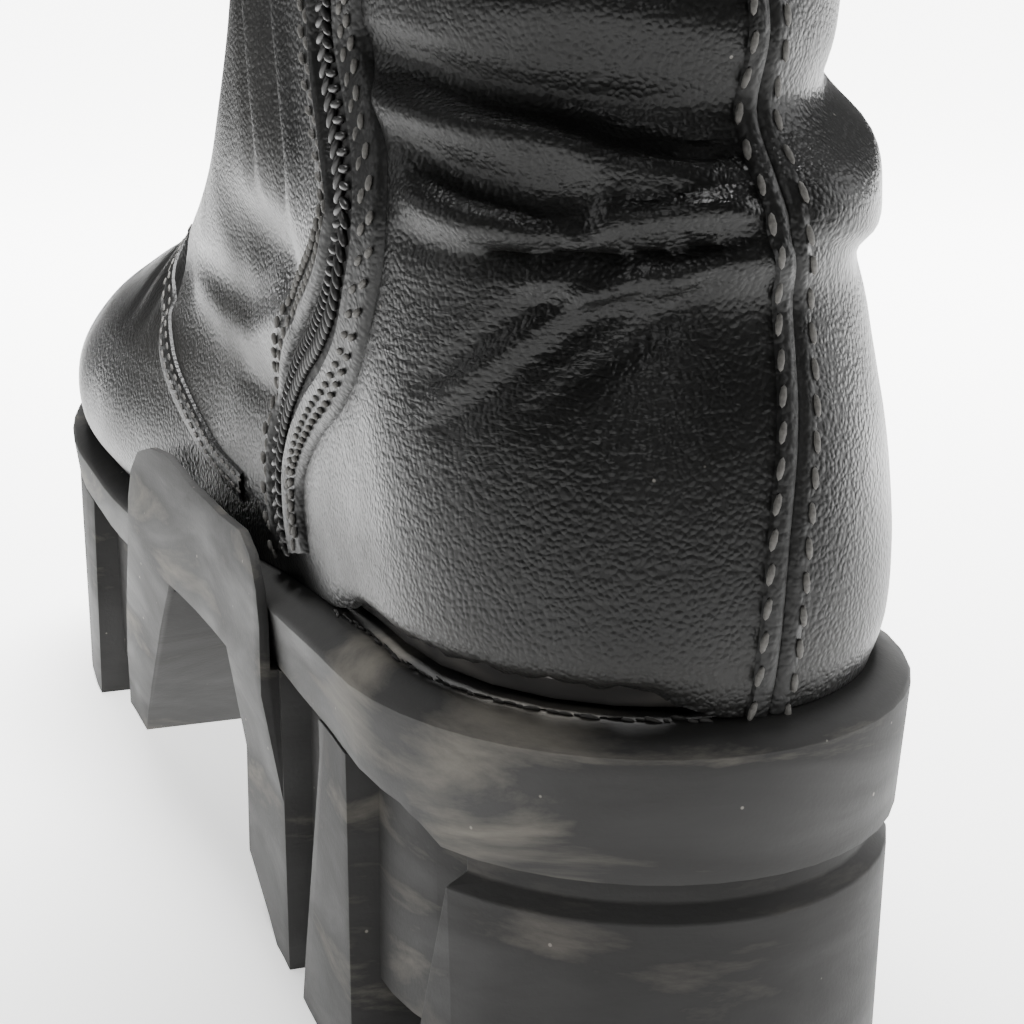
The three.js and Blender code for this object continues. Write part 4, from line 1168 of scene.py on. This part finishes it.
def plain_finish(name, dark, light, rough, metallic=0.0, grit=600.0, dent=0.00008):
    """A moulded or coated surface with faint clouding and a fine unevenness."""
    material, tree, shader = finish_of(name)
    cloud = noise(tree, object_place(tree), grit, 4.0).outputs["Fac"]
    wire(tree, shader, colour=coloured(tree, cloud, dark, light),
         rough=ranged(tree, cloud, 0.3, 0.7, rough - 0.06, rough + 0.1), normal=bumped(tree, 0.5, dent, cloud))
    shader.inputs["Metallic"].default_value = metallic
    return material


tape_cloth = woven_finish("woven_zip_tape", "#0d0d0d", "#242322", 0.5, 0.8)
lace_cloth = woven_finish("braided_lace", "#0c0c0c", "#262524", 0.8, 0.75)
lining_cloth = woven_finish("lining_cloth", "#1d1b1a", "#383532", 0.7, 0.9)
thread = plain_finish("waxed_thread", "#201f1e", "#716f6b", 0.65, grit=1600.0, dent=0.0003)
acetal = plain_finish("moulded_acetal", "#131313", "#2a2928", 0.38)
enamel = plain_finish("black_enamel", "#111111", "#1b1b1b", 0.3, metallic=0.3, grit=240.0, dent=0.00003)
print("finishes ready")

# %% [markdown]
# ## Bodies and finishes
# Every piece rides on a body of the frame. All of the boot is one body, and only the zip's pull tab swings.

# %% put together
BOOT_PIECES = [
    (upper, "upper_leather", [hide, lining_cloth]),
    (tongue, "tongue_leather", [soft_hide]),
    (insole, "insole_fabric", [lining_cloth]),
    (platform, "sole_rubber", [sole_rubber]),
    (outsole, "sole_rubber", [sole_rubber]),
    (heel_block, "sole_rubber", [block_rubber]),
    (glue, "sole_rubber", [glue_and_crack_shade]),
    (heel_tape, "upper_leather", [trim_hide]),
    (heel_stitches, "lace_textile", [thread]),
    (zip_tape, "zip_textile", [tape_cloth]),
    (zip_teeth, "zip_textile", [acetal]),
    (border_rear, "upper_leather", [trim_hide]),
    (border_front, "upper_leather", [trim_hide]),
    (zip_stitches, "lace_textile", [thread]),
    (vamp_stitches, "lace_textile", [thread]),
    (eyestay_stitches, "lace_textile", [thread]),
    (collar_binding, "upper_leather", [trim_hide]),
    (laces, "lace_textile", [lace_cloth]),
    (slider, "zip_metal", [enamel]),
]
BOOT_PIECES += [(piece, "upper_leather", [trim_hide]) for piece in vamp_pieces + eyestays]
BOOT_PIECES += [(ring, "eyelet_metal", [enamel]) for _, _, ring in eyelet_places.values()]


def dress(piece, body, materials):
    piece.data.materials.clear()
    for material in materials:
        piece.data.materials.append(material)
    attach(piece, body)


for piece, slot, materials in BOOT_PIECES:
    dress(piece, "boot", materials)
dress(pull, "pull_tab", [enamel])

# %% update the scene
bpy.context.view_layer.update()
